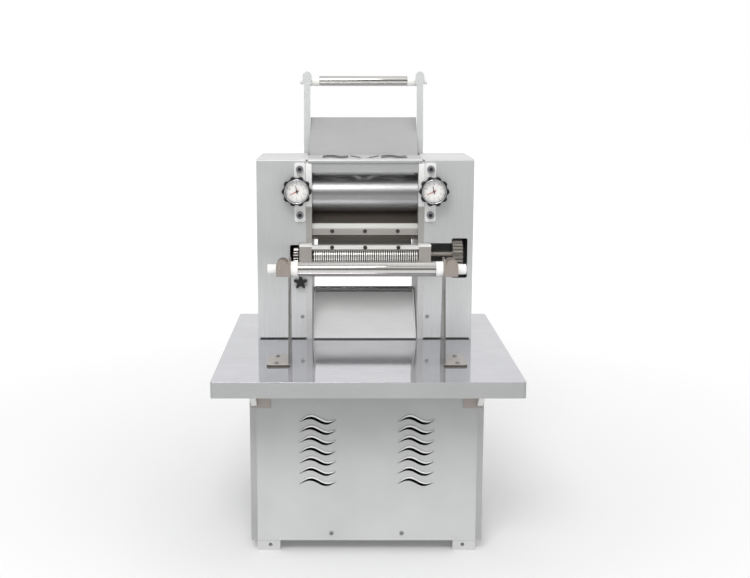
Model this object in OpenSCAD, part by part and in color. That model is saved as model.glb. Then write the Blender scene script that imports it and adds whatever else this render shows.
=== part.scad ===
// Noodle making machine: cabinet, table, roller head, ring cutter and two pin stands.
// Millimetres, +Z up, the front faces -Y, origin on the floor under the table centre.

/* [Table] */
// Table width along X
table_width = 612; // [560:1:660]
// Table depth along Y
table_depth = 630; // [580:1:680]
// Height of the table top
table_z = 392; // [360:1:420]
// Height of the folded lip
table_lip = 32; // [20:1:45]
// Table sheet thickness
table_sheet = 2; // [1:0.5:4]
// Table corner radius
table_corner = 6; // [2:1:20]
// Belt slot distance from the belt axis
slot_y = 68; // [64:1:72]
// Belt slot width
slot_wide = 22; // [18:1:26]
// Belt slot length
slot_long = 36; // [32:1:42]
// Belt slot corner radius
slot_r = 6; // [3:1:8]

/* [Cabinet] */
// Cabinet side past the middle of the belt
cab_clear = 20; // [16:1:40]
// Front face of the legs
cab_front = -205; // [-240:1:-180]
// Rear face of the legs
cab_rear = 256; // [220:1:280]
// Leg flange width
leg_flange = 50; // [30:1:60]
// Leg thickness
leg_sheet = 4; // [3:0.5:6]
// Panel sheet thickness
panel_sheet = 1.5; // [1:0.5:3]
// Bottom edge of the panels
panel_z = 22; // [10:1:40]
// Top edge of the panels
panel_top = 357; // [330:1:360]
// Width of leg shown beside a panel
panel_reveal = 12.5; // [5:0.5:20]
// Foot hole radius
foot_hole_r = 4; // [3:0.5:6]
// Foot hole height
foot_hole_z = 12; // [8:1:18]
// Foot hole distance from the middle
foot_hole_x = 200; // [190:1:230]
// Rail depth
rail_high = 30; // [20:1:40]
// Height of the shelf rails
shelf_z = 64; // [40:1:100]
// Shelf plate thickness
shelf_sheet = 4; // [3:0.5:6]
// Panel screw above the panel edge
panel_screw_up = 16; // [12:1:20]
// Foot flange width
foot_flange = 47; // [40:1:55]
// Foot lap behind the panel
foot_lap = 30; // [20:1:60]

/* [Louvres] */
// Louvre group distance from the middle
louvre_x = 101; // [80:1:120]
// Louvre length
louvre_long = 75; // [60:1:90]
// Rows in a group
louvre_rows = 7; // [3:1:9]
// Top row height
louvre_z = 281; // [250:1:300]
// Row pitch
louvre_pitch = 22; // [15:1:28]
// Wave height each way
louvre_wave = 6; // [2:0.5:7]
// Slot height at its middle
louvre_slot = 7.5; // [3:0.5:9]
// Hood width above a slot
louvre_hood = 3.5; // [2:0.5:5]
// Hood stand-off from the panel
louvre_proud = 2.5; // [1:0.5:4]
// Sweep of a wave along its slot, in degrees
wave_turn = 400; // [320:10:440]
// Place of the first crest along a slot
wave_lead = 0.3; // [0.2:0.05:0.4]
// Taper of a slot towards its ends
end_taper = 0.06; // [0.03:0.01:0.1]
// Steps along a wave
wave_steps = 16; // [12:2:20]

/* [Braces] */
// Brace outer face
brace_x = 236; // [220:1:245]
// Brace flange width
brace_wide = 12; // [6:1:14]
// Brace lower end
brace_low = 308; // [290:1:330]
// Brace front end
brace_front = -290; // [-305:1:-260]
// Brace base plate width
brace_base = 27; // [20:1:40]
// Brace plate thickness
brace_sheet = 3; // [2:0.5:5]
// Brace height at the cabinet
brace_rise = 14; // [8:1:20]
// Brace length under the table
brace_run = 15; // [8:1:20]

/* [Head] */
// Big pulley middle to the outside of a cover
head_clear = 21; // [18:1:40]
// Front plane of the head
head_y = 46; // [30:1:60]
// Head depth
head_deep = 210; // [190:1:230]
// Head top
head_top = 797; // [760:1:830]
// Cover sheet thickness
cover_sheet = 1.5; // [1:0.5:3]
// Inner face of a side frame
frame_in = 118; // [110:1:125]
// Side frame thickness
frame_thick = 13; // [10:1:18]
// Seam between guard and covers
seam_x = 126; // [122:0.5:130]
// Shadow gap under the cover fronts
cover_gap = 3; // [2:1:10]
// Depth of the top guard
guard_deep = 136; // [120:1:150]
// Depth of the roller guard plate below the head top
guard_lip = 30; // [24:1:34]
// Roller guard plate behind the head front
guard_set = 5; // [4:0.5:8]
// Bend radius of the covers and the top guard
cover_bend = 5; // [3:0.5:8]
// Folded edge under the bend
bend_lip = 3; // [2:0.5:4]
// Frame ear behind the feed board
frame_ear = 28; // [22:1:34]
// Cover lug width
lug_wide = 26; // [20:1:27]
// Cover lug depth
lug_deep = 16; // [12:1:20]
// Cover lug half height
lug_high = 10; // [8:1:14]
// Guard slot distance from the middle
guard_slot_x = 66; // [56:1:72]
// First guard slot behind the head front
guard_slot_d = 38; // [30:1:44]
// Guard slot pitch
guard_slot_pitch = 44; // [36:1:52]
// Guard slot length
guard_slot_long = 58; // [48:1:66]
// Guard wave height each way
guard_wave = 14; // [8:1:16]
// Guard slot width
guard_slot = 9; // [6:0.5:11]
// Middle slot distance from the middle
guard_mid_x = 16; // [14:1:18]
// Middle slot turn
guard_mid_turn = 20; // [16:1:22]
// Middle slot length
guard_mid_long = 56; // [48:1:60]
// Raised edge of a guard slot
guard_rib = 2.5; // [1.5:0.5:4]
// Rear tie rod behind the head front
tie_d = 188; // [184:1:192]
// Rear tie rod height
tie_z = 640; // [636:1:646]

/* [Rollers] */
// Press roller radius
roller_r = 42; // [38:0.5:46]
// Height of the roller axes
roller_z = 717; // [700:1:740]
// Front roller behind the head front
front_roller_d = 52; // [48:1:60]
// Rear roller behind the head front
rear_roller_d = 139; // [130:1:150]
// Play between roller and frame
roller_play = 0.5; // [0.3:0.1:1]
// Journal radius
journal_r = 15; // [12:0.5:18]
// Stepped shaft radius
step_r = 12; // [10:0.5:14]
// Bearing block width along X
block_wide = 28; // [24:1:30]
// Bearing block half depth
block_half = 28; // [24:1:30]
// Bearing block lower face
block_low = 690; // [680:1:700]
// Bearing block upper face
block_high = 754; // [745:1:765]
// Guide rail lower edge
rail_low = 660; // [650:1:670]
// Guide rail upper edge
rail_top = 788; // [780:1:792]
// Slide travel forward
slide_open = 3; // [2:0.5:4]
// Slide travel back
slide_close = 2; // [1:0.5:2.5]
// Guide rail past the rear block
rail_more = 8; // [4:1:12]

/* [Adjusters] */
// Adjuster screw distance from the middle
adjust_x = 150; // [146:1:151]
// Adjuster screw height
adjust_z = 728; // [720:1:735]
// Adjuster screw radius
screw_r = 5; // [4:0.5:6]
// Adjuster bolts distance from the middle
plate_x = 144; // [142:1:146]
// Adjuster plate width at the bolts
plate_wide = 24; // [20:1:26]
// Adjuster plate boss radius round the screw
plate_boss = 15; // [12:0.5:18]
// Adjuster plate thickness
plate_thick = 6; // [4:0.5:8]
// Adjuster plate lower end
plate_low = 659; // [650:1:665]
// Adjuster plate upper end
plate_high = 789; // [780:1:795]
// Lower bolt height
bolt_low = 674; // [668:1:680]
// Upper bolt height
bolt_high = 775; // [770:1:780]
// Bolt shank radius
bolt_r = 5; // [4:0.5:6]
// Bolt head radius
bolt_head_r = 8; // [7:0.5:10]
// Bolt head height
bolt_head = 9; // [6:0.5:12]
// Hex socket radius
bolt_hex_r = 4.6; // [3:0.1:6]
// Handwheel radius at the lobes
wheel_r = 33; // [28:0.5:38]
// Lobes on the handwheel
wheel_lobes = 10; // [6:1:16]
// Lobe radius
lobe_r = 6.5; // [4:0.5:9]
// Handwheel depth
wheel_deep = 20; // [14:1:26]
// Handwheel hub depth behind the rim
hub_deep = 7; // [4:1:12]
// Handwheel hub radius
hub_r = 14; // [10:0.5:20]
// Dial plate radius
dial_r = 24.5; // [22:0.5:26]
// Dial plate thickness
dial_thick = 1.5; // [1:0.5:3]
// Recess depth for the dial
dial_recess = 11; // [8:1:14]
// Dial spindle radius
spindle_r = 2; // [1.5:0.1:3]
// Bolt depth in the guide rail
bolt_into = 24; // [18:1:30]
// Screw end behind the head front
screw_end = 30; // [26:1:32]
// Screw bore depth behind the head front
screw_bore = 35; // [34:1:37]
// Screw depth in the handwheel
wheel_into = 4; // [3:0.5:5]
// Adjuster plate corner radius
plate_soft = 5; // [2:0.5:8]
// Lobe height over the core
lobe_rise = 4; // [3:0.5:5]

/* [Gears] */
// Pressure angle
pressure = 25; // [20:1:28]
// Tooth thinning for backlash
backlash = 0.3; // [0.1:0.05:0.6]
// Roller gear module
roller_m = 4; // [3:0.5:5]
// Roller gear teeth
roller_teeth = 21; // [18:1:24]
// Roller gear addendum
roller_add = 4.4; // [4:0.1:5]
// Drive gear module
drive_m = 2.5; // [2:0.5:3]
// Bull gear teeth
bull_teeth = 52; // [46:1:54]
// Compound pinion teeth
comp_small = 16; // [14:1:20]
// Compound gear teeth
comp_big = 40; // [34:1:44]
// Countershaft pinion teeth
counter_teeth = 15; // [14:1:18]
// Cutter train module
cutter_m = 3; // [2.5:0.5:3]
// Transfer gear teeth
transfer_teeth = 42; // [38:1:44]
// Idler teeth
idler_teeth = 30; // [28:1:34]
// Cutter gear teeth
cutter_teeth = 20; // [18:1:24]
// Coupling gear module
couple_m = 2; // [1.5:0.5:2.5]
// Coupling gear teeth
couple_teeth = 14; // [12:1:18]
// Axle radius
axle_r = 8; // [6:0.5:10]
// Boss radius round an axle
boss_r = 15; // [12:1:18]
// Countershaft radius
counter_r = 10; // [8:0.5:12]
// Countershaft behind the head front
counter_d = 106; // [95:1:115]
// Countershaft height
counter_z = 570; // [560:1:580]
// Roller gear width
gear_a_wide = 20; // [16:1:24]
// Bull gear width
gear_b_wide = 12; // [10:1:14]
// Compound gear width
gear_c_wide = 10; // [8:1:12]
// Cutter train gear width
cut_gear_wide = 22; // [18:1:24]
// Left face of the coupling gears
couple_x = -158; // [-160:1:-156]
// Coupling gear width
couple_wide = 10; // [8:1:10]
// Countershaft boss length
counter_boss = 18; // [12:1:22]
// Tooth root depth in modules
deep = 1.25; // [1.2:0.05:1.3]
// Coupling tooth root depth in modules
couple_deep = 1.2; // [1.15:0.05:1.25]
// Gear clearance to the bearing block
gear_gap = 1; // [0.5:0.1:2]
// Clearance between gear planes
gear_step = 3; // [2:0.5:5]
// Clearance between bull and compound gear
gear_lap = 2; // [1:0.5:3]
// Cutter train clear of the bearing block
cut_gear_gap = 36; // [30:1:38]

/* [Belt] */
// Big pulley radius
pulley_r = 95; // [80:1:96]
// Motor pulley radius
motor_pulley_r = 30; // [26:1:36]
// Pulley width
pulley_wide = 18; // [14:1:22]
// Belt width
belt_wide = 10; // [8:0.5:13]
// Belt thickness
belt_thick = 8; // [6:0.5:10]
// Belt outer face below the pulley rim
belt_sunk = 1; // [0.5:0.5:3]
// Pulley web thickness
web_thick = 8; // [6:1:12]
// Pulley rim thickness
rim_thick = 8; // [6:1:12]

/* [Motor] */
// Motor axis height
motor_z = 150; // [140:1:170]
// Motor body radius over the fins
motor_r = 68; // [60:1:72]
// Fin depth
fin_deep = 8; // [5:1:12]
// Number of fins
fin_count = 28; // [20:1:36]
// Left end of the motor body
motor_left = -125; // [-140:1:-110]
// Right end of the motor body
motor_right = 85; // [70:1:100]
// Motor shaft radius
motor_shaft_r = 9.5; // [8:0.5:12]
// Fan cover length
fan_long = 46; // [36:1:60]
// End shield length
shield_long = 14; // [10:1:20]
// Motor foot distance from the axis
foot_y = 50; // [40:1:56]
// Motor foot width
foot_wide = 24; // [18:1:30]
// Foot top below the axis
foot_top = 20; // [10:1:30]
// Terminal box left end
box_left = -60; // [-70:1:-40]
// Terminal box length
box_long = 80; // [60:1:90]
// Terminal box width
box_wide = 60; // [50:1:70]
// Terminal box height over the fins
box_high = 26; // [18:1:34]
// Fin tip width in parts of its root
fin_taper = 0.6; // [0.5:0.05:0.9]

/* [Cutter] */
// Knife outer radius
knife_r = 16; // [14:0.5:18]
// Groove depth
knife_groove = 5; // [3:0.5:6]
// Ring pitch
knife_pitch = 4.8; // [3:0.1:6]
// Rings on the rear knife
knife_rings = 48; // [30:1:60]
// Side play between rings
knife_play = 0.1; // [0.05:0.05:0.2]
// Knife journal radius
knife_shaft_r = 7; // [6:0.5:8]
// Knife axis height
knife_z = 583; // [575:1:590]
// Rear knife behind the head front
knife_d = 18; // [16:1:20]
// End block outer face
end_out = 145; // [140:1:150]
// Cutter block bottom below the knife axes
end_down = 21; // [17:1:28]
// Cutter block top above the knife axes
end_up = 23; // [19:1:27]
// End block in front of the head
end_front = 28; // [24:1:32]
// End block behind the head front
end_back = 36; // [34:1:40]
// Clamp plate thickness
clamp_thick = 4; // [3:0.5:6]
// Comb finger width
finger_wide = 1.9; // [1:0.1:2.2]
// Comb finger gap to the groove floor
finger_gap = 0.6; // [0.4:0.1:1]
// Cutter window edge play
window_play = 1; // [0.5:0.5:3]
// Tall window inner edge
tall_in = 193; // [188:1:196]
// Tall window outer edge
tall_out = 228; // [220:1:232]
// Tall window lower edge
tall_low = 532; // [525:1:540]
// Tall window clearance over the cutter gear
tall_clear = 5; // [3:0.5:10]
// Left window outer edge
window_out = 167; // [162:1:172]
// Window corner radius
window_soft = 4; // [2:0.5:6]
// Narrow window lower edge
narrow_low = 569; // [566:1:572]
// Narrow window upper edge
narrow_high = 610; // [604:1:612]
// Top bar lower edge
bar_low = 600.5; // [599.5:0.5:602]
// Top bar upper edge
bar_high = 609; // [607:0.5:612]
// Comb bar thickness
comb_thick = 5; // [4:0.5:6]
// Comb bar depth
comb_deep = 14; // [10:0.5:16]
// Comb finger depth
finger_deep = 4; // [3:0.5:5]
// Comb bar lower face
comb_low = 560; // [558:0.5:561]

/* [Scrapers] */
// Scraper bar lower edge
scraper_low = 627; // [620:1:635]
// Scraper bar upper edge
scraper_high = 652; // [648:1:656]
// Scraper bar behind the head front
scraper_d = 10; // [6:1:16]
// Scraper bar thickness
scraper_thick = 7; // [6:0.5:8]
// Scraper bar chamfer height
scraper_cham = 9; // [5:0.5:10]
// Scraper bar chamfer depth
scraper_cut = 5; // [3:0.5:5]
// Scraper screw height
scraper_screw_z = 636; // [633:1:638]
// Blade thickness
blade_thick = 1.6; // [1:0.1:2.5]
// Blade gap to the roller
blade_gap = 0.4; // [0.3:0.05:0.8]
// Screw spacing on the bars
bar_pitch = 73; // [60:1:85]
// Small screw radius
small_r = 2.5; // [2:0.5:4]
// Small screw head radius
small_head_r = 4.5; // [3.5:0.5:6]
// Small screw head height
small_head = 2.5; // [1.5:0.5:4]
// Guide plate half width
guide_x = 106; // [100:1:112]
// Guide plate arc radius
guide_r = 44; // [36:1:50]
// Guide arc centre behind the head front
guide_d = 26; // [22:1:32]
// Guide arc centre height
guide_z = 646; // [640:1:652]
// Guide rod radius
rod_r = 5; // [4:0.5:7]
// Rod depth in the side frame
rod_into = 8; // [6:1:10]
// Small screw depth
screw_into = 10; // [8:1:12]
// Guide plate thickness
guide_sheet = 1.5; // [1:0.5:3]
// Blade root below the bar top
blade_step = 4; // [3:0.5:6]
// Guide rod sunk into the plate
guide_weld = 1; // [0.5:0.1:1.4]
// Guide rod angle below level
guide_turn = 40; // [34:1:46]
// Guide plate upper end angle
guide_end = 12; // [8:1:20]

/* [Chute] */
// Chute half width
chute_x = 115; // [105:1:117]
// Chute sheet thickness
chute_sheet = 1.5; // [1:0.5:3]
// Rolled edge radius
hem_r = 7; // [6:0.5:9]
// Rolled edge behind the head front
hem_d = 135; // [120:1:150]
// Rolled edge height
hem_z = 481; // [470:1:490]
// Side flange height
chute_flange = 22; // [14:1:30]
// Chute edge in front of the head
chute_out = 8; // [4:1:12]

/* [Front stand] */
// Stand plate inner face
stand_x = 156; // [150:1:162]
// Stand plate thickness
stand_sheet = 4; // [3:0.5:5]
// Stand middle along Y
stand_y = -155; // [-170:1:-140]
// Foot length
stand_foot = 88; // [70:1:100]
// Foot width
stand_wide = 49; // [40:1:60]
// Plate depth at the top
stand_top = 38; // [34:1:46]
// Pin axis height
pin_z = 586; // [575:1:595]
// Pin tube radius
pin_r = 15; // [12:0.5:18]
// Pin tube half length
pin_half = 141; // [135:1:145]
// Pin tube wall
pin_wall = 2; // [1.5:0.5:3]
// Pin end radius
pin_end_r = 10.5; // [9:0.5:12]
// Pin end reach
pin_reach = 203; // [195:1:210]
// Front tab width
tab_wide = 25; // [20:1:30]
// Top of the stand
stand_z = 608; // [600:1:615]
// Pin notch play
stand_notch = 0.2; // [0.1:0.05:0.4]
// Pin collar radius
collar_r = 16; // [15:0.5:18]
// Pin spigot length
spigot = 22; // [15:1:30]
// Foot screw past the stand plate
stand_screw_in = 30; // [22:1:36]
// Foot screw spacing
stand_screw_pitch = 56; // [40:1:66]
// Foot corner radius
stand_soft = 8; // [4:1:14]
// Stand plate height at the foot ends
stand_rise = 8; // [6:1:14]

/* [Rear stand] */
// Post flange inner edge
post_in = 127; // [122:1:130]
// Post flange width
post_wide = 15; // [12:1:20]
// Post sheet thickness
post_sheet = 3; // [2:0.5:4]
// Post side plate depth
post_deep = 32; // [28:1:40]
// Post lower end
post_low = 690; // [680:1:710]
// Bend height of the post
post_bend = 800; // [797:1:810]
// Lean of the post
post_lean = 7; // [4:0.5:10]
// Post length above the bend
post_long = 190; // [170:1:200]
// Rear pin radius
rear_pin_r = 12; // [10:0.5:14]
// Rear pin tube half length
rear_pin_half = 105; // [100:1:115]
// Rear pin neck radius
rear_neck_r = 8; // [6:0.5:9]
// Rear pin below the post top
rear_pin_drop = 20; // [16:1:26]
// Feed board sheet thickness
board_sheet = 2; // [1:0.5:3]
// Feed board lower end behind the head front
board_d = 140; // [136:1:146]
// Feed board lower end height
board_z = 767; // [762:1:772]
// Feed board length
board_long = 158; // [140:1:165]
// Feed board slope
board_slope = 45.8; // [40:0.1:52]
// Post screw distance from the middle
post_screw_x = 124.5; // [123:0.5:126]
// Pin saddle along the post plate
saddle_y = 17; // [14:1:20]
// Rear pin end reach
rear_reach = 152; // [146:1:158]
// Post head radius
tab_half = 10.5; // [9:0.5:12]
// Lower post screw height
post_screw_low = 712; // [706:1:720]
// Upper post screw height
post_screw_high = 772; // [766:1:778]

/* [Controls] */
// Star knob distance from the middle
star_x = 143.5; // [140:0.5:150]
// Star knob height
star_z = 523; // [515:1:530]
// Star knob tip radius
star_r = 15.5; // [12:0.5:18]
// Star knob depth
star_deep = 12; // [8:1:16]
// Cover screw height
cover_screw_z = 444; // [438:1:450]
// Switch box width along X
switch_wide = 56; // [45:1:70]
// Switch box height
switch_high = 92; // [80:1:110]
// Switch box depth
switch_deep = 38; // [30:1:45]
// Switch box middle along X
switch_x = -110; // [-140:1:140]
// Switch box middle height
switch_z = 285; // [250:1:300]
// Button radius
button_r = 11; // [9:0.5:13]
// Button stand-off
button_proud = 6; // [5:0.5:9]
// Gland radius
gland_r = 10; // [8:0.5:14]
// Gland height
gland_z = 112; // [90:1:140]
// Gland distance from the middle
gland_x = 150; // [120:1:170]
// Gland reach each way
gland_deep = 14; // [10:1:18]
// Gland nut thickness
gland_nut = 5; // [3:1:7]
// Switch box corner radius
switch_soft = 6; // [3:1:10]
// Button bore depth
button_hole = 10; // [9:1:14]
// Button travel
button_travel = 4; // [3:0.5:5]
// Knob stud past the small screw radius
star_stud = 1.5; // [1:0.5:2.5]
// Cover screw distance from the middle
cover_screw_x = 140; // [138:0.5:146]
// Star knob core radius
star_core = 8; // [7:0.5:9]
// Star knob tip rounding
star_tip = 2.5; // [1.5:0.5:3]
// Star knob arm half width at its root
star_root = 6; // [5:0.5:7]

/* [Fits] */
// Fixed fit clearance
fit = 0.05; // [0.02:0.01:0.1]
// Running fit clearance
run = 0.1; // [0.05:0.01:0.1]
// Air gap between loose parts
air = 0.4; // [0.3:0.1:1]

/* [Hidden] */
$fn = 64;
eps = 1;
frame_out = frame_in + frame_thick;
block_out = frame_out + block_wide;
table_under = table_z - table_sheet;
head_back = head_y + head_deep;
sheet_top = head_top - cover_sheet;
front_y = head_y + front_roller_d;
rear_y = head_y + rear_roller_d;
counter_y = head_y + counter_d;
knife_y = head_y + knife_d;
couple_gap = couple_m * couple_teeth;
front_knife_y = knife_y - couple_gap;
gear_a = -(block_out + gear_gap + gear_a_wide);
gear_b = gear_a - gear_step - gear_b_wide;
gear_c = gear_b - gear_lap - gear_c_wide;
pulley_mid = gear_c - gear_step - pulley_wide / 2;
half_cab = cab_clear - pulley_mid;
half_head = head_clear - pulley_mid;
end_high = knife_z + end_up;
end_low = knife_z - end_down;
cut_gear_x = block_out + cut_gear_gap;
tall_high = knife_z + cutter_m * (cutter_teeth / 2 + 1) + tall_clear;
belt_r = pulley_r - belt_sunk;
belt_small_r = motor_pulley_r - belt_sunk;
motor_y = counter_y;
wheel_back = head_y - plate_thick - hub_deep;
wheel_front = wheel_back - wheel_deep;
recess_back = wheel_front + dial_recess;

guide_rod = [head_y + guide_d, guide_z] + (guide_r + rod_r - guide_weld) * [cos(guide_turn),
    -sin(guide_turn)];
rear_tie = [head_y + tie_d, tie_z];
ring_wide = knife_pitch / 2 - knife_play;
ring_start = -knife_rings * knife_pitch / 2;
knife_core = knife_r - knife_groove;
gap_half = knife_pitch / 4;
chute_front = head_y - chute_out;
hem_y = head_y + hem_d;
post_screws = [post_screw_low, post_screw_high];
saddle_z = post_long - rear_pin_drop;
wheel_core = wheel_r - lobe_rise;

function under(d) = board_z - board_sheet / cos(board_slope) + (d - board_d) * tan(board_slope);
function lean(y, z) = [head_back + y * cos(post_lean) + z * sin(post_lean),
                       post_bend - y * sin(post_lean) + z * cos(post_lean)];
function meet(a, b, ra, rb, side) =
    let (d = norm(b - a), u = (b - a) / d, p = (ra * ra - rb * rb + d * d) / (2 * d))
    a + u * p + side * sqrt(ra * ra - p * p) * [u[1], -u[0]];
function aim(a, b) = atan2(b[1] - a[1], b[0] - a[0]);
function mesh(theta, p1, z1, z2) = theta + 180 - (0.5 - (theta - p1) * z1 / 360) * 360 / z2;
function inv(a) = tan(a) * 180 / PI - a;
function flank(r, rp, rb, half) = half + inv(pressure) - (r > rb ? inv(acos(rb / r)) : 0);
function polar(r, a) = [r * cos(a), r * sin(a)];
function gear_points(m, z, add, ded) =
    let (rp = m * z / 2, rb = rp * cos(pressure), rt = rp + add, rr = rp - ded,
         half = 90 / z - backlash / 2 / rp * 180 / PI, r0 = max(rb, rr), steps = 3)
    [for (i = [0 : z - 1]) let (c = i * 360 / z) each concat(
        [polar(rr, c - flank(r0, rp, rb, half) - 0.5)],
        [for (k = [0 : steps]) let (r = r0 + (rt - r0) * k / steps) polar(r, c - flank(r, rp, rb, half))],
        [for (k = [steps : -1 : 0]) let (r = r0 + (rt - r0) * k / steps) polar(r, c + flank(r, rp, rb,
            half))],
        [polar(rr, c + flank(r0, rp, rb, half) + 0.5)])];
function wave(t, rise) = rise * sin(90 + wave_turn * (t - wave_lead));
function swell(t) = sin(180 * (end_taper + (1 - 2 * end_taper) * t));
function band(long, low, high, rise) =
    let (n = wave_steps)
    concat([for (i = [0 : n]) let (t = i / n) [long * (t - 0.5), wave(t, rise) + low * swell(t)]],
           [for (i = [n : -1 : 0]) let (t = i / n) [long * (t - 0.5), wave(t, rise) + high * swell(t)]]);
function arc(c, r, a0, a1, n) = [for (i = [0 : n]) c + polar(r, a0 + (a1 - a0) * i / n)];

rear_axis = [rear_y, roller_z];
front_axis = [front_y, roller_z];
counter_axis = [counter_y, counter_z];
knife_axis = [knife_y, knife_z];
front_knife_axis = [front_knife_y, knife_z];
comp_axis = meet(rear_axis, counter_axis, drive_m * (bull_teeth + comp_small) / 2,
                 drive_m * (comp_big + counter_teeth) / 2, -1);
idler_axis = meet(rear_axis, knife_axis, cutter_m * (transfer_teeth + idler_teeth) / 2,
                  cutter_m * (idler_teeth + cutter_teeth) / 2, 1);
front_phase = mesh(180, 0, roller_teeth, roller_teeth);
small_phase = mesh(aim(rear_axis, comp_axis), 0, bull_teeth, comp_small);
counter_phase = mesh(aim(comp_axis, counter_axis), small_phase, comp_big, counter_teeth);
idler_phase = mesh(aim(rear_axis, idler_axis), 0, transfer_teeth, idler_teeth);
cutter_phase = mesh(aim(idler_axis, knife_axis), idler_phase, idler_teeth, cutter_teeth);
couple_phase = mesh(180, 0, couple_teeth, couple_teeth);
belt_tilt = asin((belt_r - belt_small_r) / (counter_z - motor_z));

module block(x0, x1, y0, y1, z0, z1) {
    translate([x0, y0, z0]) cube([x1 - x0, y1 - y0, z1 - z0]);
}

module along_x(x0, x1) {
    translate([x0, 0, 0]) rotate([90, 0, 90]) linear_extrude(x1 - x0) children();
}

module along_y(y0, y1) {
    translate([0, y1, 0]) rotate([90, 0, 0]) linear_extrude(y1 - y0) children();
}

module rod_x(x0, x1, r, p) {
    translate([x0, p[0], p[1]]) rotate([0, 90, 0]) cylinder(r = r, h = x1 - x0);
}

module rod_y(y0, y1, r, x, z) {
    translate([x, y1, z]) rotate([90, 0, 0]) cylinder(r = r, h = y1 - y0);
}

module sides() {
    children();
    mirror([1, 0, 0]) children();
}

module slab_y(w, d, h, r) {
    linear_extrude(h) {
        square([w - 2 * r, d], center = true);
        square([w, d - 2 * r], center = true);
        for (x = [-1, 1], y = [-1, 1]) translate([x * (w / 2 - r), y * (d / 2 - r)]) circle(r);
    }
}

module soft_box(w, h, r) {
    square([w - 2 * r, h], center = true);
    square([w, h - 2 * r], center = true);
    for (x = [-1, 1], y = [-1, 1]) translate([x * (w / 2 - r), y * (h / 2 - r)]) circle(r);
}

module gear(m, z, add, ded, phase, p, x0, wide, bore) {
    difference() {
        along_x(x0, x0 + wide) translate(p) rotate(phase) polygon(gear_points(m, z, add, ded));
        rod_x(x0 - eps, x0 + wide + eps, bore, p);
    }
}

// Cabinet
module leg(x, y) {
    sx = x < 0 ? 1 : -1;
    sy = y < 0 ? 1 : -1;
    translate([x, y, 0]) mirror([sx < 0 ? 1 : 0, 0, 0]) mirror([0, sy < 0 ? 1 : 0, 0]) {
        translate([0, 0, panel_z]) {
            cube([leg_flange, leg_sheet, table_under - panel_z]);
            cube([leg_sheet, leg_flange, table_under - panel_z]);
        }
        translate([panel_reveal, 0, 0]) {
            cube([foot_flange, leg_sheet, panel_z + foot_lap]);
            cube([leg_sheet, foot_flange, panel_z + foot_lap]);
        }
    }
}

module corner_legs() {
    difference() {
        for (x = [-half_cab, half_cab], y = [cab_front, cab_rear]) leg(x, y);
        for (x = [-foot_hole_x, foot_hole_x]) {
            rod_y(cab_front - eps, cab_front + leg_sheet + eps, foot_hole_r, x, foot_hole_z);
            rod_y(cab_rear - leg_sheet - eps, cab_rear + eps, foot_hole_r, x, foot_hole_z);
        }
    }
}

module frame_rails() {
    rail_x = half_cab - leg_sheet;
    rail_y0 = cab_front + leg_sheet;
    rail_y1 = cab_rear - leg_sheet;
    for (z = [table_under - rail_high, shelf_z - rail_high]) {
        for (s = [-1, 1]) block(s * rail_x - (s > 0 ? leg_sheet : 0), s * rail_x + (s < 0 ? leg_sheet : 0),
                                rail_y0, rail_y1, z, z + rail_high);
        difference() {
            block(leg_sheet - rail_x, rail_x - leg_sheet, rail_y0, rail_y0 + leg_sheet, z, z + rail_high);
            for (s = [-1, 1]) rod_y(rail_y0 - eps, rail_y0 + leg_sheet + eps, small_r + fit,
                                    s * bar_pitch, panel_z + panel_screw_up);
        }
        block(leg_sheet - rail_x, rail_x - leg_sheet, rail_y1 - leg_sheet, rail_y1, z, z + rail_high);
    }
}

module base_frame() {
    color("#B9BBBC") {
        corner_legs();
        frame_rails();
    }
}

module front_panel() {
    panel_x = half_cab - panel_reveal;
    color("#BEBFC0") difference() {
        union() {
            block(-panel_x, panel_x, cab_front - panel_sheet, cab_front, panel_z, panel_top);
            for (s = [-1, 1], i = [0 : louvre_rows - 1])
                translate([s * louvre_x, 0, louvre_z - i * louvre_pitch])
                    along_y(cab_front - panel_sheet - louvre_proud, cab_front)
                        polygon(band(louvre_long, louvre_slot / 2, louvre_slot / 2 + louvre_hood,
                            louvre_wave));
        }
        for (s = [-1, 1], i = [0 : louvre_rows - 1])
            translate([s * louvre_x, 0, louvre_z - i * louvre_pitch])
                along_y(cab_front - panel_sheet - eps, cab_front + eps)
                    polygon(band(louvre_long, -louvre_slot / 2, louvre_slot / 2, louvre_wave));
        for (s = [-1, 1]) rod_y(cab_front - panel_sheet - eps, cab_front + eps, small_r + fit,
                                s * bar_pitch, panel_z + panel_screw_up);
    }
}

module side_panels() {
    color("#BEBFC0") for (s = [-1, 1])
        block(s > 0 ? half_cab : -half_cab - panel_sheet, s > 0 ? half_cab + panel_sheet : -half_cab,
              cab_front + panel_reveal, cab_rear - panel_reveal, panel_z, panel_top);
}

module back_panel() {
    panel_x = half_cab - panel_reveal;
    color("#BEBFC0") difference() {
        block(-panel_x, panel_x, cab_rear, cab_rear + panel_sheet, panel_z, panel_top);
        rod_y(cab_rear - eps, cab_rear + panel_sheet + eps, gland_r + fit, gland_x, gland_z);
    }
}

module small_screw(y, x, z, into) {
    rod_y(y - small_head, y, small_head_r, x, z);
    rod_y(y - eps / 2, y + into, small_r, x, z);
}

// Table
module table_top() {
    color("#D2D4D5") difference() {
        translate([0, 0, table_z - table_lip]) slab_y(table_width, table_depth, table_lip, table_corner);
        translate([0, 0, table_z - table_lip - eps]) slab_y(table_width - 2 * table_sheet,
            table_depth - 2 * table_sheet, table_lip - table_sheet + eps, table_corner - table_sheet);
        for (s = [-1, 1]) translate([pulley_mid, motor_y + s * slot_y, table_z - table_lip - eps])
            slab_y(slot_wide, slot_long, table_lip + 2 * eps, slot_r);
        stand_screws(small_r + fit, table_under - eps);
    }
}

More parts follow.
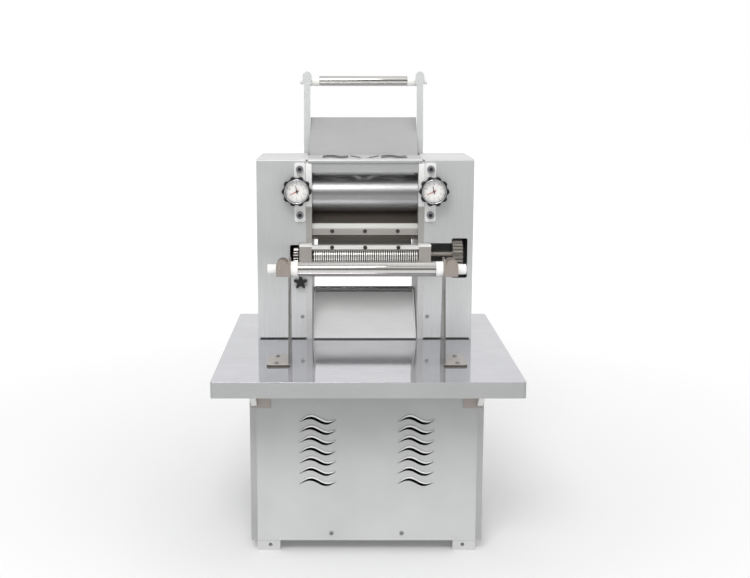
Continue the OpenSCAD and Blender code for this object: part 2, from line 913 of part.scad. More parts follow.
module stand_screws(r, low) {
    for (s = [-1, 1], d = [-1, 1])
        translate([s * (stand_x + stand_screw_in), stand_y + d * stand_screw_pitch / 2, low])
            cylinder(r = r, h = table_z + stand_sheet + eps / 2 - low);
}

module table_braces() {
    face_y = cab_front - panel_sheet;
    p = [[face_y, brace_low], [face_y, brace_low + brace_rise], [brace_front, table_under],
         [brace_front - brace_run, table_under]];
    color("#DADBDC") sides() {
        along_x(-brace_x, brace_wide - brace_x) polygon(p);
        block(brace_wide - brace_x, brace_wide - brace_x + brace_base,
              face_y - brace_sheet, face_y, brace_low, panel_top);
    }
}

// Motor drive
module motor_shelf() {
    rail_y0 = cab_front + leg_sheet;
    rail_y1 = cab_rear - leg_sheet;
    x1 = half_cab - leg_sheet - air;
    color("#8E9294") block(-x1, x1, rail_y0, rail_y1, shelf_z, shelf_z + shelf_sheet);
}

module motor_body() {
    foot_low = shelf_z + shelf_sheet;
    core = motor_r - fin_deep;
    fins = [for (i = [0 : fin_count - 1]) let (c = i * 360 / fin_count, w = 90 / fin_count)
        each [polar(core, c - w), polar(motor_r, c - w * fin_taper), polar(motor_r, c + w * fin_taper),
            polar(core, c + w)]];
    color("#5F6A70") difference() {
        union() {
            along_x(motor_left + shield_long, motor_right - shield_long) translate([motor_y, motor_z])
                polygon(fins);
            rod_x(motor_left, motor_left + shield_long, motor_r + eps, [motor_y, motor_z]);
            rod_x(motor_right - shield_long, motor_right + fan_long, motor_r + eps, [motor_y, motor_z]);
            for (s = [-1, 1]) block(motor_left + shield_long, motor_right - shield_long,
                motor_y + s * foot_y - foot_wide / 2, motor_y + s * foot_y + foot_wide / 2, foot_low,
                    motor_z - foot_top);
            block(box_left, box_left + box_long, motor_y - box_wide / 2, motor_y + box_wide / 2,
                  motor_z + core / 2, motor_z + motor_r + box_high);
        }
        rod_x(motor_left - eps, motor_right, motor_shaft_r + run, [motor_y, motor_z]);
    }
}

module motor_shaft() {
    color("#A8ABAD") rod_x(pulley_mid - pulley_wide / 2, motor_right - shield_long, motor_shaft_r,
        [motor_y, motor_z]);
}

module pulley(r, bore, p, web) {
    w = pulley_wide / 2;
    g = belt_wide / 2 + air;
    floor_r = r - belt_sunk - belt_thick - air;
    translate([pulley_mid, p[0], p[1]]) rotate([0, 90, 0]) rotate_extrude()
        polygon(concat([[bore, -w], [web ? hub_r : r, -w]],
            web ? [[hub_r, -web_thick / 2], [floor_r - rim_thick, -web_thick / 2],
                [floor_r - rim_thick, -w], [r, -w]] : [],
            [[r, -g], [floor_r, -g], [floor_r, g], [r, g], [r, w]],
            web ? [[floor_r - rim_thick, w], [floor_r - rim_thick, web_thick / 2], [hub_r,
                web_thick / 2]] : [],
            [[web ? hub_r : r, w], [bore, w]]));
}

module motor_pulley() {
    color("#4A4D4F") pulley(motor_pulley_r, motor_shaft_r + fit, [motor_y, motor_z], false);
}

module big_pulley() {
    color("#4A4D4F") pulley(pulley_r, counter_r + fit, counter_axis, true);
}

function belt_loop(big, small) = concat(arc(counter_axis, big, -belt_tilt, 180 + belt_tilt, 48),
    arc([motor_y, motor_z], small, 180 + belt_tilt, 360 - belt_tilt, 32));

module drive_belt() {
    color("#1E1E1F") along_x(pulley_mid - belt_wide / 2, pulley_mid + belt_wide / 2) difference() {
        polygon(belt_loop(belt_r, belt_small_r));
        polygon(belt_loop(belt_r - belt_thick, belt_small_r - belt_thick));
    }
}

module cable_gland() {
    color("#222324") {
        rod_y(cab_rear - gland_deep, cab_rear + gland_deep, gland_r, gland_x, gland_z);
        rod_y(cab_rear + panel_sheet, cab_rear + panel_sheet + gland_nut, gland_r + gland_nut, gland_x,
            gland_z);
    }
}

// Switch
module switch_box() {
    y0 = cab_rear + panel_sheet;
    color("#D9D6CB") difference() {
        translate([switch_x, 0, switch_z]) along_y(y0, y0 + switch_deep) soft_box(switch_wide,
            switch_high, switch_soft);
        for (s = [-1, 1]) rod_y(y0 + switch_deep - button_hole, y0 + switch_deep + eps, button_r + run,
                                switch_x, switch_z + s * switch_high / 4);
    }
}

module button(s) {
    y1 = cab_rear + panel_sheet + switch_deep;
    rod_y(y1 - button_hole + button_travel + eps, y1 + button_proud, button_r, switch_x,
        switch_z + s * switch_high / 4);
}

module start_button() {
    color("#2E8B4A") button(1);
}

module stop_button() {
    color("#C0392B") button(-1);
}

// Head frames
module frame_outline() {
    ear = board_d + frame_ear;
    polygon([[head_y, table_z], [head_y, end_low - fit], [head_y + end_back + fit, end_low - fit],
             [head_y + end_back + fit, end_high + fit], [head_y, end_high + fit], [head_y,
                 head_top - 2 * cover_bend - bend_lip],
             [head_y + 2 * cover_bend, sheet_top],
             [head_y + guard_deep, sheet_top], [head_y + guard_deep, under(guard_deep)],
             [head_y + ear, under(ear)], [head_back, under(ear)], [head_back, table_z]]);
}

module side_frame(left) {
    difference() {
        union() {
            along_x(frame_in, frame_out) frame_outline();
            for (z = [[rail_low, block_low], [block_high, rail_top]])
                block(frame_out - fit, block_out, head_y + cover_sheet,
                    rear_y + block_half + rail_more, z[0], z[1]);
            block(frame_out - fit, block_out, rear_y - block_half, rear_y + block_half,
                block_low - fit, block_high + fit);
            rod_x(frame_out - eps, frame_out + counter_boss, boss_r + counter_r / 2, counter_axis);
            rod_x(frame_out - eps, left ? -(gear_b + gear_b_wide) - eps : cut_gear_x - eps, boss_r,
                left ? comp_axis : idler_axis);
            block(frame_out - fit, frame_out + lug_wide, head_y + cover_sheet, head_y + lug_deep,
                  star_z - lug_high, star_z + lug_high);
            block(frame_out - fit, frame_out + lug_wide, head_y + cover_sheet, head_y + lug_deep,
                  cover_screw_z - lug_high, cover_screw_z + lug_high);
        }
        rod_x(frame_in - eps, block_out + eps, journal_r + run, rear_axis);
        for (d = [-slide_open, slide_close]) rod_x(frame_in - eps, frame_out + eps, journal_r + air,
            front_axis + [d, 0]);
        block(frame_in - eps, frame_out + eps, front_y - slide_open, front_y + slide_close,
              roller_z - journal_r - air, roller_z + journal_r + air);
        rod_x(frame_in - eps, frame_out + counter_boss + eps, counter_r + run, counter_axis);
        rod_x(frame_in - eps, block_out * 2, axle_r + fit, left ? comp_axis : idler_axis);
        for (z = [bolt_low, bolt_high]) rod_y(head_y, head_y + bolt_into + eps, bolt_r + fit, plate_x, z);
        rod_y(head_y, head_y + lug_deep + eps, small_r + star_stud + run, star_x, star_z);
        rod_y(head_y, head_y + lug_deep + eps, small_r + fit, cover_screw_x, cover_screw_z);
        rod_x(frame_in - eps, frame_in + rod_into, rod_r + fit, [head_y + hem_d, hem_z]);
        rod_x(frame_in - eps, frame_in + rod_into, rod_r + fit, guide_rod);
        rod_x(frame_in - eps, frame_in + rod_into, rod_r + fit, rear_tie);
        for (z = post_screws) rod_y(head_back - screw_into, head_back + eps, small_r + fit,
            post_screw_x, z);
    }
}

module left_side_frame() {
    color("#E2E3E4") mirror([1, 0, 0]) side_frame(true);
}

module right_side_frame() {
    color("#E2E3E4") side_frame(false);
}

module tie_rods() {
    color("#C9CCCE") {
        rod_x(-frame_in - rod_into, frame_in + rod_into, rod_r, [head_y + hem_d, hem_z]);
        rod_x(-frame_in - rod_into, frame_in + rod_into, rod_r, rear_tie);
    }
}

// Covers
module bent(y0, y1, z0, z1, r) {
    translate([y0, z0]) square([y1 - y0, z1 - z0 - r]);
    translate([y0 + r, z0]) square([y1 - y0 - 2 * r, z1 - z0]);
    for (y = [y0 + r, y1 - r]) translate([y, z1 - r]) circle(r);
}

module cover() {
    front = head_y + cover_sheet;
    difference() {
        along_x(seam_x + air / 2, half_head) bent(head_y, head_back, table_z, head_top, cover_bend);
        along_x(frame_out - eps, half_head - cover_sheet)
            bent(front, head_back - cover_sheet, table_z - eps, sheet_top, cover_bend - cover_sheet);
        block(seam_x - eps, frame_out, head_y - eps, head_back + eps, table_z - eps, sheet_top);
        block(seam_x, frame_out, head_y + guard_deep, head_back + eps, sheet_top - eps, head_top + eps);
        block(frame_out - eps, half_head - cover_sheet * 3, head_y - eps, front + eps, table_z - eps,
            table_z + cover_gap);
        for (z = [bolt_low, bolt_high]) rod_y(head_y - eps, front + eps, bolt_r + air, plate_x, z);
        rod_y(head_y - eps, front + eps, screw_r + air, adjust_x, adjust_z);
        rod_y(head_y - eps, front + eps, small_r + fit, cover_screw_x, cover_screw_z);
    }
}

module left_cover() {
    mid = (window_out + frame_out) / 2;
    color("#BFC0C1") mirror([1, 0, 0]) difference() {
        cover();
        block(frame_out - eps, end_out + window_play, head_y - eps, head_y + cover_sheet + eps,
              end_low - window_play, end_high + clamp_thick + window_play);
        translate([mid, 0, (end_low + end_high) / 2]) along_y(head_y - eps, head_y + cover_sheet + eps)
            soft_box(window_out - frame_out, end_high - end_low, window_soft);
        rod_y(head_y - eps, head_y + cover_sheet + eps, small_r + star_stud + run, star_x, star_z);
    }
}

module right_cover() {
    color("#BFC0C1") difference() {
        cover();
        block(frame_out - eps, end_out + window_play, head_y - eps, head_y + cover_sheet + eps,
              end_low - window_play, end_high + clamp_thick + window_play);
        block(frame_out - eps, tall_in + window_soft, head_y - eps, head_y + cover_sheet + eps,
              narrow_low, narrow_high);
        translate([(tall_in + tall_out) / 2, 0, (tall_low + tall_high) / 2])
            along_y(head_y - eps, head_y + cover_sheet + eps) soft_box(tall_out - tall_in,
                tall_high - tall_low, window_soft);
    }
}

module guard_marks(low, high, rib) {
    edge = guard_slot / 2;
    for (s = [-1, 1], d = [0, 1]) translate([s * guard_slot_x,
        head_y + guard_slot_d + d * guard_slot_pitch, low])
        linear_extrude(high - low) polygon(band(guard_slot_long, rib ? edge : -edge,
            rib ? edge + guard_rib : edge, guard_wave));
    for (s = [-1, 1]) translate([s * guard_mid_x, head_y + guard_slot_d + guard_slot_pitch / 2, low])
        rotate(-s * guard_mid_turn) linear_extrude(high - low)
            translate([rib ? s * edge + s * guard_rib / 2 : 0, 0])
                square([rib ? guard_rib : guard_slot, guard_mid_long], center = true);
}

module top_guard() {
    x1 = seam_x - air / 2;
    x2 = frame_in - air;
    back = head_y + guard_deep - air;
    color("#D9DADB") difference() {
        union() {
            along_x(-x1, x1) difference() {
                intersection() {
                    bent(head_y, head_back, table_z, head_top, cover_bend);
                    translate([head_y, head_top - cover_bend - bend_lip]) square([back - head_y,
                        cover_bend + bend_lip]);
                }
                bent(head_y + cover_sheet, head_back, table_z, sheet_top, cover_bend - cover_sheet);
            }
            block(-x2, x2, head_y + guard_set, head_y + guard_set + cover_sheet, head_top - guard_lip,
                sheet_top + eps / 2);
            guard_marks(sheet_top + eps / 2, head_top + guard_rib, true);
        }
        guard_marks(sheet_top - eps, head_top + guard_rib + eps, false);
    }
}

// Rollers and bearings
module bearing_blocks() {
    front = front_y - block_half;
    color("#6D7175") sides() difference() {
        block(frame_out + run, block_out, front, front_y + block_half, block_low + run, block_high - run);
        rod_x(frame_out - eps, block_out + eps, journal_r + run, front_axis);
        rod_y(front - eps, head_y + screw_bore, screw_r + run, adjust_x, adjust_z);
    }
}

module rear_roller() {
    face = frame_in - roller_play;
    color("#D6D8DA") {
        rod_x(-face, face, roller_r, rear_axis);
        rod_x(gear_a, block_out + eps, journal_r, rear_axis);
        rod_x(gear_b - eps, cut_gear_x + cut_gear_wide + eps, step_r, rear_axis);
    }
}

module front_roller() {
    face = frame_in - roller_play;
    color("#D6D8DA") {
        rod_x(-face, face, roller_r, front_axis);
        rod_x(gear_a - eps, block_out + eps, journal_r, front_axis);
    }
}

// Gear trains
module rear_roller_gear() {
    color("#7B7F82") gear(roller_m, roller_teeth, roller_add, roller_m * deep, 0, rear_axis, gear_a,
        gear_a_wide,
                          journal_r + fit);
}

module front_roller_gear() {
    color("#7B7F82") gear(roller_m, roller_teeth, roller_add, roller_m * deep, front_phase, front_axis,
        gear_a,
                          gear_a_wide, journal_r + fit);
}

module bull_gear() {
    color("#7B7F82") gear(drive_m, bull_teeth, drive_m, drive_m * deep, 0, rear_axis, gear_b,
        gear_b_wide, step_r + fit);
}

module gear_axles() {
    color("#A8ABAD") {
        rod_x(gear_c - eps, -frame_in, axle_r, comp_axis);
        rod_x(frame_in, cut_gear_x + cut_gear_wide + eps, axle_r, idler_axis);
    }
}

module compound_gear() {
    color("#7B7F82") {
        gear(drive_m, comp_small, drive_m, drive_m * deep, small_phase, comp_axis,
            gear_c + gear_c_wide - fit,
             gear_b + gear_b_wide - gear_c - gear_c_wide + fit, axle_r + run);
        gear(drive_m, comp_big, drive_m, drive_m * deep, small_phase, comp_axis, gear_c, gear_c_wide,
            axle_r + run);
    }
}

module countershaft() {
    color("#A8ABAD") {
        rod_x(pulley_mid - pulley_wide / 2 - eps, frame_out + counter_boss, counter_r, counter_axis);
        along_x(gear_c, gear_c + gear_c_wide) translate(counter_axis) rotate(counter_phase)
            polygon(gear_points(drive_m, counter_teeth, drive_m, drive_m * deep));
    }
}

module transfer_gear() {
    color("#7B7F82") gear(cutter_m, transfer_teeth, cutter_m, cutter_m * deep, 0, rear_axis,
        cut_gear_x, cut_gear_wide,
                          step_r + fit);
}

module idler_gear() {
    color("#7B7F82") gear(cutter_m, idler_teeth, cutter_m, cutter_m * deep, idler_phase, idler_axis,
        cut_gear_x,
                          cut_gear_wide, axle_r + run);
}

// Ring cutter
module ring_knife(p, shift, right, phase) {
    rings = [for (i = [0 : knife_rings - 1]) let (x = ring_start + i * knife_pitch + knife_play / 2 + shift)
             each [[knife_core, x], [knife_r, x], [knife_r, x + ring_wide], [knife_core, x + ring_wide]]];
    translate([0, p[0], p[1]]) rotate([0, 90, 0]) rotate_extrude() polygon(concat([[0, couple_x - eps],
        [knife_shaft_r, couple_x - eps], [knife_shaft_r, ring_start - eps], [knife_core,
            ring_start - eps]], rings,
        [[knife_core, eps - ring_start], [knife_shaft_r, eps - ring_start], [knife_shaft_r, right], [0,
            right]]));
    along_x(couple_x, couple_x + couple_wide) translate(p) rotate(phase)
        polygon(gear_points(couple_m, couple_teeth, couple_m, couple_m * couple_deep));
}

module rear_knife() {
    color("#C9CCCE") ring_knife(knife_axis, 0, cut_gear_x + cut_gear_wide + eps, 0);
}

module front_knife() {
    color("#C9CCCE") ring_knife(front_knife_axis, knife_pitch / 2, end_out - eps, couple_phase);
}

module cutter_gear() {
    color("#C3BFB5") gear(cutter_m, cutter_teeth, cutter_m, cutter_m * deep, cutter_phase, knife_axis,
        cut_gear_x,
                          cut_gear_wide, knife_shaft_r + fit);
}

module cutter_blocks() {
    color("#C4C6C8") sides() difference() {
        block(frame_in, end_out, head_y - end_front, head_y + end_back, end_low, end_high);
        rod_x(frame_in - eps, end_out + eps, knife_shaft_r + run, knife_axis);
        rod_x(frame_in - eps, end_out + eps, knife_shaft_r + run, front_knife_axis);
    }
}

module clamp_plates() {
    color("#EFEFEE") sides()
        block(frame_in, end_out, head_y - end_front, head_y - air, end_high, end_high + clamp_thick);
}

module cutter_bar() {
    y0 = head_y - end_front;
    color("#C4C6C8") difference() {
        block(-frame_in, frame_in, y0, y0 + comb_deep, bar_low, bar_high);
        for (i = [-1 : 1]) rod_y(y0 - eps, y0 + screw_into, small_r + fit, i * bar_pitch,
            (bar_low + bar_high) / 2);
    }
}

module comb(p, shift) {
    tip = p[1] - knife_core - finger_gap;
    block(-frame_in, frame_in, p[0] - comb_deep / 2, p[0] + comb_deep / 2, comb_low, comb_low + comb_thick);
    for (i = [1 : knife_rings - 2]) {
        x = ring_start + i * knife_pitch + shift;
        block(x - finger_wide / 2, x + finger_wide / 2, p[0] - finger_deep / 2, p[0] + finger_deep / 2,
              comb_low + comb_thick - eps, tip);
    }
}

module cutter_combs() {
    color("#C4C6C8") {
        comb(knife_axis, knife_pitch / 2 + gap_half);
        comb(front_knife_axis, gap_half);
    }
}

// Scrapers and guide
module scraper_outline(bar, tip, dir) {
    z = roller_z - roller_r - blade_gap;
    root = bar + (dir > 0 ? scraper_thick : 0);
    far = bar + scraper_thick - root + bar;
    polygon([[root, scraper_low], [root, scraper_high], [far + dir * scraper_cut, scraper_high],
             [far, scraper_high - scraper_cham], [far, scraper_low]]);
    polygon([[root - dir * eps, scraper_high - blade_step], [tip, z], [tip, z - blade_thick],
             [root - dir * eps, scraper_high - blade_step - 2 * blade_thick]]);
}

module scrapers() {
    front_bar = head_y + scraper_d;
    rear_bar = rear_y + front_roller_d - scraper_d - scraper_thick;
    color("#CFD1D2") {
        difference() {
            along_x(-frame_in, frame_in) scraper_outline(front_bar, front_y, 1);
            for (i = [-1 : 1]) rod_y(front_bar - eps, front_bar + scraper_thick + eps, small_r + fit,
                                     i * bar_pitch, scraper_screw_z);
        }
        along_x(-frame_in, frame_in) scraper_outline(rear_bar, rear_y, -1);
    }
}

module guide_plate() {
    c = [head_y + guide_d, guide_z];
    color("#9A9C9D") {
        along_x(-guide_x, guide_x) polygon(concat(arc(c, guide_r, -90, -guide_end, 20),
                                                  arc(c, guide_r + guide_sheet, -guide_end, -90, 20)));
        rod_x(-frame_in - rod_into, frame_in + rod_into, rod_r, guide_rod);
    }
}

module small_screws() {
    color("#B4B7B9") {
        for (i = [-1, 1]) small_screw(cab_front - panel_sheet, i * bar_pitch, panel_z + panel_screw_up,
            screw_into);
        for (i = [-1 : 1]) small_screw(head_y + scraper_d, i * bar_pitch, scraper_screw_z, scraper_thick);
        for (i = [-1 : 1]) small_screw(head_y - end_front, i * bar_pitch, (bar_low + bar_high) / 2,
            screw_into - eps);
        for (i = [-1, 1]) small_screw(head_y, i * cover_screw_x, cover_screw_z, screw_into);
        for (i = [-1, 1], z = post_screws) mirror([0, 1, 0])
            small_screw(-head_back - post_sheet, i * post_screw_x, z, screw_into);
        stand_screws(small_r, table_under - screw_into);
        for (s = [-1, 1], d = [-1, 1])
            translate([s * (stand_x + stand_screw_in), stand_y + d * stand_screw_pitch / 2,
                table_z + stand_sheet])
                cylinder(r = small_head_r, h = small_head);
    }
}

// Noodle chute
module noodle_chute() {
    low = hem_z - hem_r + chute_sheet / 2;
    rise = (low - table_z) / (hem_y - chute_front);
    color("#C6C8C9") {
        along_x(-chute_x, chute_x) difference() {
            union() {
                translate([hem_y, hem_z]) circle(hem_r);
                polygon([[chute_front, table_z], [hem_y, low], [hem_y, low + 2 * chute_sheet],
                         [chute_front, table_z + chute_sheet]]);
            }
            translate([hem_y, hem_z]) circle(rod_r + fit);
        }
        sides() along_x(chute_x - chute_sheet, chute_x) polygon([[chute_front, table_z + chute_sheet / 2],
            [chute_front, table_z + chute_flange / 2], [hem_y - 2 * chute_flange, low + chute_flange / 2],
            [hem_y - chute_flange, low + chute_flange / 2], [hem_y - hem_r, low + chute_sheet],
            [hem_y - hem_r, low - hem_r * rise + chute_sheet / 2]]);
    }
}

// Adjusters
module adjuster_plates() {
    y0 = head_y - plate_thick;
    high = plate_high - plate_low;
    color("#F0F0EE") sides() difference() {
        union() {
            translate([plate_x, 0, plate_low + high / 2]) along_y(y0, head_y) soft_box(plate_wide,
                high, plate_soft);
            rod_y(y0, head_y, plate_boss, adjust_x, adjust_z);
        }
        for (z = [bolt_low, bolt_high]) rod_y(y0 - eps, head_y + eps, bolt_r + fit, plate_x, z);
        rod_y(y0 - eps, head_y + eps, screw_r + run, adjust_x, adjust_z);
    }
}

module adjuster_bolts() {
    y = head_y - plate_thick;
    color("#3A3B3D") sides() for (z = [bolt_low, bolt_high]) difference() {
        union() {
            rod_y(y - bolt_head, y, bolt_head_r, plate_x, z);
            rod_y(y - eps, head_y + bolt_into, bolt_r, plate_x, z);
        }
        translate([plate_x, y - bolt_head / 2, z]) rotate([90, 0, 0]) cylinder(r = bolt_hex_r,
            h = bolt_head, $fn = 6);
    }
}

module adjuster_screw() {
    rod_y(wheel_back - wheel_into, head_y + screw_end, screw_r, adjust_x, adjust_z);
}

module handwheel() {
    difference() {
        union() {
            translate([adjust_x, 0, adjust_z]) along_y(wheel_front, wheel_back) {
                circle(wheel_core);
                for (i = [0 : wheel_lobes - 1]) rotate(i * 360 / wheel_lobes)
                    translate([wheel_r - lobe_r, 0]) circle(lobe_r);
            }
            rod_y(wheel_back - eps, wheel_back + hub_deep - air, hub_r, adjust_x, adjust_z);
        }
        rod_y(wheel_front - eps, recess_back, dial_r + air, adjust_x, adjust_z);
        rod_y(wheel_back - wheel_into - fit, wheel_back + hub_deep + eps, screw_r + fit, adjust_x,
            adjust_z);
    }
    rod_y(recess_back - dial_recess / 2, recess_back + eps, spindle_r, adjust_x, adjust_z);
}

module dial() {
    y = recess_back - air;
    difference() {
        rod_y(y - dial_thick, y, dial_r, adjust_x, adjust_z);
        rod_y(y - dial_thick - eps, y + eps, spindle_r + run, adjust_x, adjust_z);
    }
}

module left_adjuster_screw() {
    color("#A8ABAD") mirror([1, 0, 0]) adjuster_screw();
}

module right_adjuster_screw() {
    color("#A8ABAD") adjuster_screw();
}

module left_handwheel() {
    color("#1B1B1C") mirror([1, 0, 0]) handwheel();
}

module right_handwheel() {
    color("#1B1B1C") handwheel();
}

module left_dial() {
    color("#F4F3EE") mirror([1, 0, 0]) dial();
}

module right_dial() {
    color("#F4F3EE") dial();
}

module star_knob() {
    star_tip_x = star_r - star_tip;
    color("#1B1B1C") {
        translate([-star_x, 0, star_z]) along_y(head_y - star_deep - air, head_y - air) {
            circle(star_core);
            for (i = [0 : 4]) rotate(90 + i * 72) {
                translate([star_tip_x, 0]) circle(star_tip);
                polygon([[0, star_root], [star_tip_x, star_tip], [star_tip_x, -star_tip], [0, -star_root]]);
            }
        }
        rod_y(head_y - eps, head_y + lug_deep - eps, small_r + star_stud, -star_x, star_z);
    }
}

// Front stand
module front_stand() {
    f = stand_foot / 2;
    t = stand_top / 2;
    x0 = stand_x;
    x1 = stand_x + stand_sheet;
    color("#D5D6D7") sides() {
        along_x(x0, x1) difference() {
            translate([stand_y, 0]) polygon([[-f, table_z], [f, table_z], [f, table_z + stand_rise],
                [t, pin_z - stand_top], [t, stand_z], [-t, stand_z], [-t, pin_z - stand_top], [-f,
                    table_z + stand_rise]]);
            translate([stand_y, pin_z]) circle(pin_end_r + stand_notch);
            translate([stand_y - pin_end_r - stand_notch, pin_z])
                square([2 * (pin_end_r + stand_notch), stand_top]);
            translate([stand_y, pin_z - stand_top]) soft_box(stand_sheet, 3 * stand_sheet,
                stand_sheet / 2 - fit);
        }
        difference() {
            translate([x1 + stand_wide / 2 - stand_sheet, stand_y, table_z])
                slab_y(stand_wide, stand_foot, stand_sheet, stand_soft);
            stand_screws(small_r + fit, table_under);
        }
        for (y = [stand_y - t, stand_y + t - stand_sheet]) translate([x1 + tab_wide / 2, 0, 0])
            along_y(y, y + stand_sheet) {
                translate([0, stand_z - tab_wide / 2]) circle(tab_wide / 2);
                translate([-tab_wide / 2 - eps, pin_z - tab_wide / 2]) square([tab_wide + eps,
                    stand_z - pin_z]);
            }
    }
}

module front_pin_bushes() {
    p = [stand_y, pin_z];
    color("#F3F2EE") sides() {
        rod_x(pin_half - spigot, pin_half + eps, pin_r - pin_wall - run, p);
        rod_x(pin_half, stand_x - air, collar_r, p);
        rod_x(pin_half, pin_reach, pin_end_r, p);
    }
}

module front_pin_tube() {
    p = [stand_y, pin_z];
    color("#D9DBDD") difference() {
        rod_x(air - pin_half, pin_half - air, pin_r, p);
        rod_x(-pin_half, pin_half, pin_r - pin_wall, p);
    }
}

// Rear stand
module rear_stand() {
    x1 = post_in + post_wide;
    mid = post_in + post_wide / 2;
    color("#D5D6D7") sides() {
        difference() {
            block(frame_in, x1, head_back, head_back + post_sheet, post_low, post_bend + eps);
            for (z = post_screws) rod_y(head_back - eps, head_back + post_sheet + eps, small_r + fit,
                post_screw_x, z);
            block(frame_in - eps, post_in, head_back - eps, head_back + post_sheet + eps,
                under(head_deep) - rail_high,
                  head_top + rail_high);
        }
        translate([0, head_back, post_bend]) rotate([-post_lean, 0, 0]) {
            block(post_in, x1, 0, post_sheet, -eps, post_long - tab_half);
            along_y(0, post_sheet) {
                translate([mid, post_long - tab_half]) circle(tab_half);
                translate([mid - tab_half, saddle_z - rear_pin_drop / 2]) square([2 * tab_half,
                    rear_pin_drop]);
            }
            along_x(x1 - post_sheet, x1) difference() {
                square([post_deep, post_long - rear_pin_drop / 2]);
                translate([saddle_y, saddle_z]) circle(rear_neck_r + stand_notch);
                translate([saddle_y - rear_neck_r - stand_notch, saddle_z])
                    square([2 * (rear_neck_r + stand_notch), rear_pin_drop]);
            }
        }
    }
}

module feed_board() {
    c = cos(board_slope);
    s = sin(board_slope);
    p = [head_y + board_d, board_z];
    color("#A9ABAC") along_x(-post_in, post_in) polygon([p, p + board_long * [c, s],
        p + board_long * [c, s] + board_sheet * [s, -c], p + board_sheet * [s, -c]]);
}

module rear_pin_bushes() {
    p = lean(saddle_y, saddle_z);
    color("#F3F2EE") sides() {
        rod_x(rear_pin_half - spigot, rear_pin_half + eps, rear_pin_r - pin_wall - run, p);
        rod_x(rear_pin_half, post_in + post_wide - post_sheet - air, rear_pin_r, p);
        rod_x(rear_pin_half, rear_reach, rear_neck_r, p);
    }
}

module rear_pin_tube() {
    p = lean(saddle_y, saddle_z);
    color("#D9DBDD") difference() {
        rod_x(air - rear_pin_half, rear_pin_half - air, rear_pin_r, p);
        rod_x(-rear_pin_half, rear_pin_half, rear_pin_r - pin_wall, p);
    }
}

base_frame();
front_panel();
side_panels();
back_panel();
table_top();
table_braces();
motor_shelf();
motor_body();
motor_shaft();
motor_pulley();
drive_belt();
cable_gland();
switch_box();
start_button();
stop_button();
left_side_frame();
right_side_frame();
tie_rods();
left_cover();
right_cover();
top_guard();
bearing_blocks();
rear_roller();
front_roller();
rear_roller_gear();
front_roller_gear();
bull_gear();
gear_axles();
compound_gear();
countershaft();
big_pulley();
transfer_gear();
idler_gear();
rear_knife();
front_knife();
cutter_gear();
cutter_blocks();
clamp_plates();
cutter_bar();
cutter_combs();
scrapers();
guide_plate();
small_screws();
noodle_chute();
adjuster_plates();
adjuster_bolts();
left_adjuster_screw();
left_handwheel();
left_dial();
right_adjuster_screw();
right_handwheel();
right_dial();
star_knob();
front_stand();
front_pin_bushes();
front_pin_tube();
rear_stand();
feed_board();
rear_pin_bushes();
rear_pin_tube();
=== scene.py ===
import math

import bmesh
import bpy
from mathutils import Matrix, Vector


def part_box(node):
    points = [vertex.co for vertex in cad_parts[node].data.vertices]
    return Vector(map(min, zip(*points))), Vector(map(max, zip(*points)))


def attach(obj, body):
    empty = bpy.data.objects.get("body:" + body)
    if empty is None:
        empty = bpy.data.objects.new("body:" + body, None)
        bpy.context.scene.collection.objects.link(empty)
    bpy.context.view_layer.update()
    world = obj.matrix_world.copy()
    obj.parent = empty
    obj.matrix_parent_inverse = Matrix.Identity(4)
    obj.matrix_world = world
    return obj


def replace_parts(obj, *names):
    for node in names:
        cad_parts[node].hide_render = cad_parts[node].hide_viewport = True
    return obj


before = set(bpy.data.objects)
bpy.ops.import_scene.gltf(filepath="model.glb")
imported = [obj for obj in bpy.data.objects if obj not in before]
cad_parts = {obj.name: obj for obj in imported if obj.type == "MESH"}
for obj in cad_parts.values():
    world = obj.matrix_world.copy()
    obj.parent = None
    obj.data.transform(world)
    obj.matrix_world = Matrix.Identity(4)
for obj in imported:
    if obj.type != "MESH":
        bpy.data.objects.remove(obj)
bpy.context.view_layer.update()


# Camera: a lens of about 52 mm on a 36 mm sensor, 2.3 m in front of the machine and level with the top pin.
# It looks down a little, as the photograph does.
eye = bpy.data.cameras.new("eye")
eye.sensor_width = 36.0
eye.lens = 52.04
eye.shift_x = 0.0424
eye.shift_y = -0.04
eye.clip_end = 60.0
eye_object = bpy.data.objects.new("eye", eye)
bpy.context.scene.collection.objects.link(eye_object)
eye_object.location = (-0.0485, -2.3411, 0.9641)
eye_object.rotation_euler = (math.radians(80.73), 0.0, 0.0)
bpy.context.scene.camera = eye_object
bpy.context.scene.view_settings.view_transform = "Standard"


# Studio: a white sweep in soft light from above and in front. Bare metal also mirrors a room behind the
# camera that is dark overhead, bright at the height of the lamps, and dark just above and below the lens.
def linear(hex_code):
    """An sRGB hex colour as linear RGBA."""
    parts = [int(hex_code[i : i + 2], 16) / 255 for i in (0, 2, 4)]
    return [p / 12.92 if p <= 0.04045 else ((p + 0.055) / 1.055) ** 2.4 for p in parts] + [1.0]


def add(tree, kind, settings=(), links=()):
    """Adds a node, sets its attributes, inputs and colour stops, and links outputs to its inputs."""
    node = tree.nodes.new(kind)
    for name, value in settings:
        if name == "stops":
            elements = node.color_ramp.elements
            while len(elements) < len(value):
                elements.new(1.0)
            for element, (place, colour) in zip(elements, value):
                element.position = place
                element.color = linear(colour)
        elif isinstance(name, str) and hasattr(node, name):
            setattr(node, name, value)
        else:
            node.inputs[name].default_value = value
    for socket, output in links:
        tree.links.new(output, node.inputs[socket])
    return node


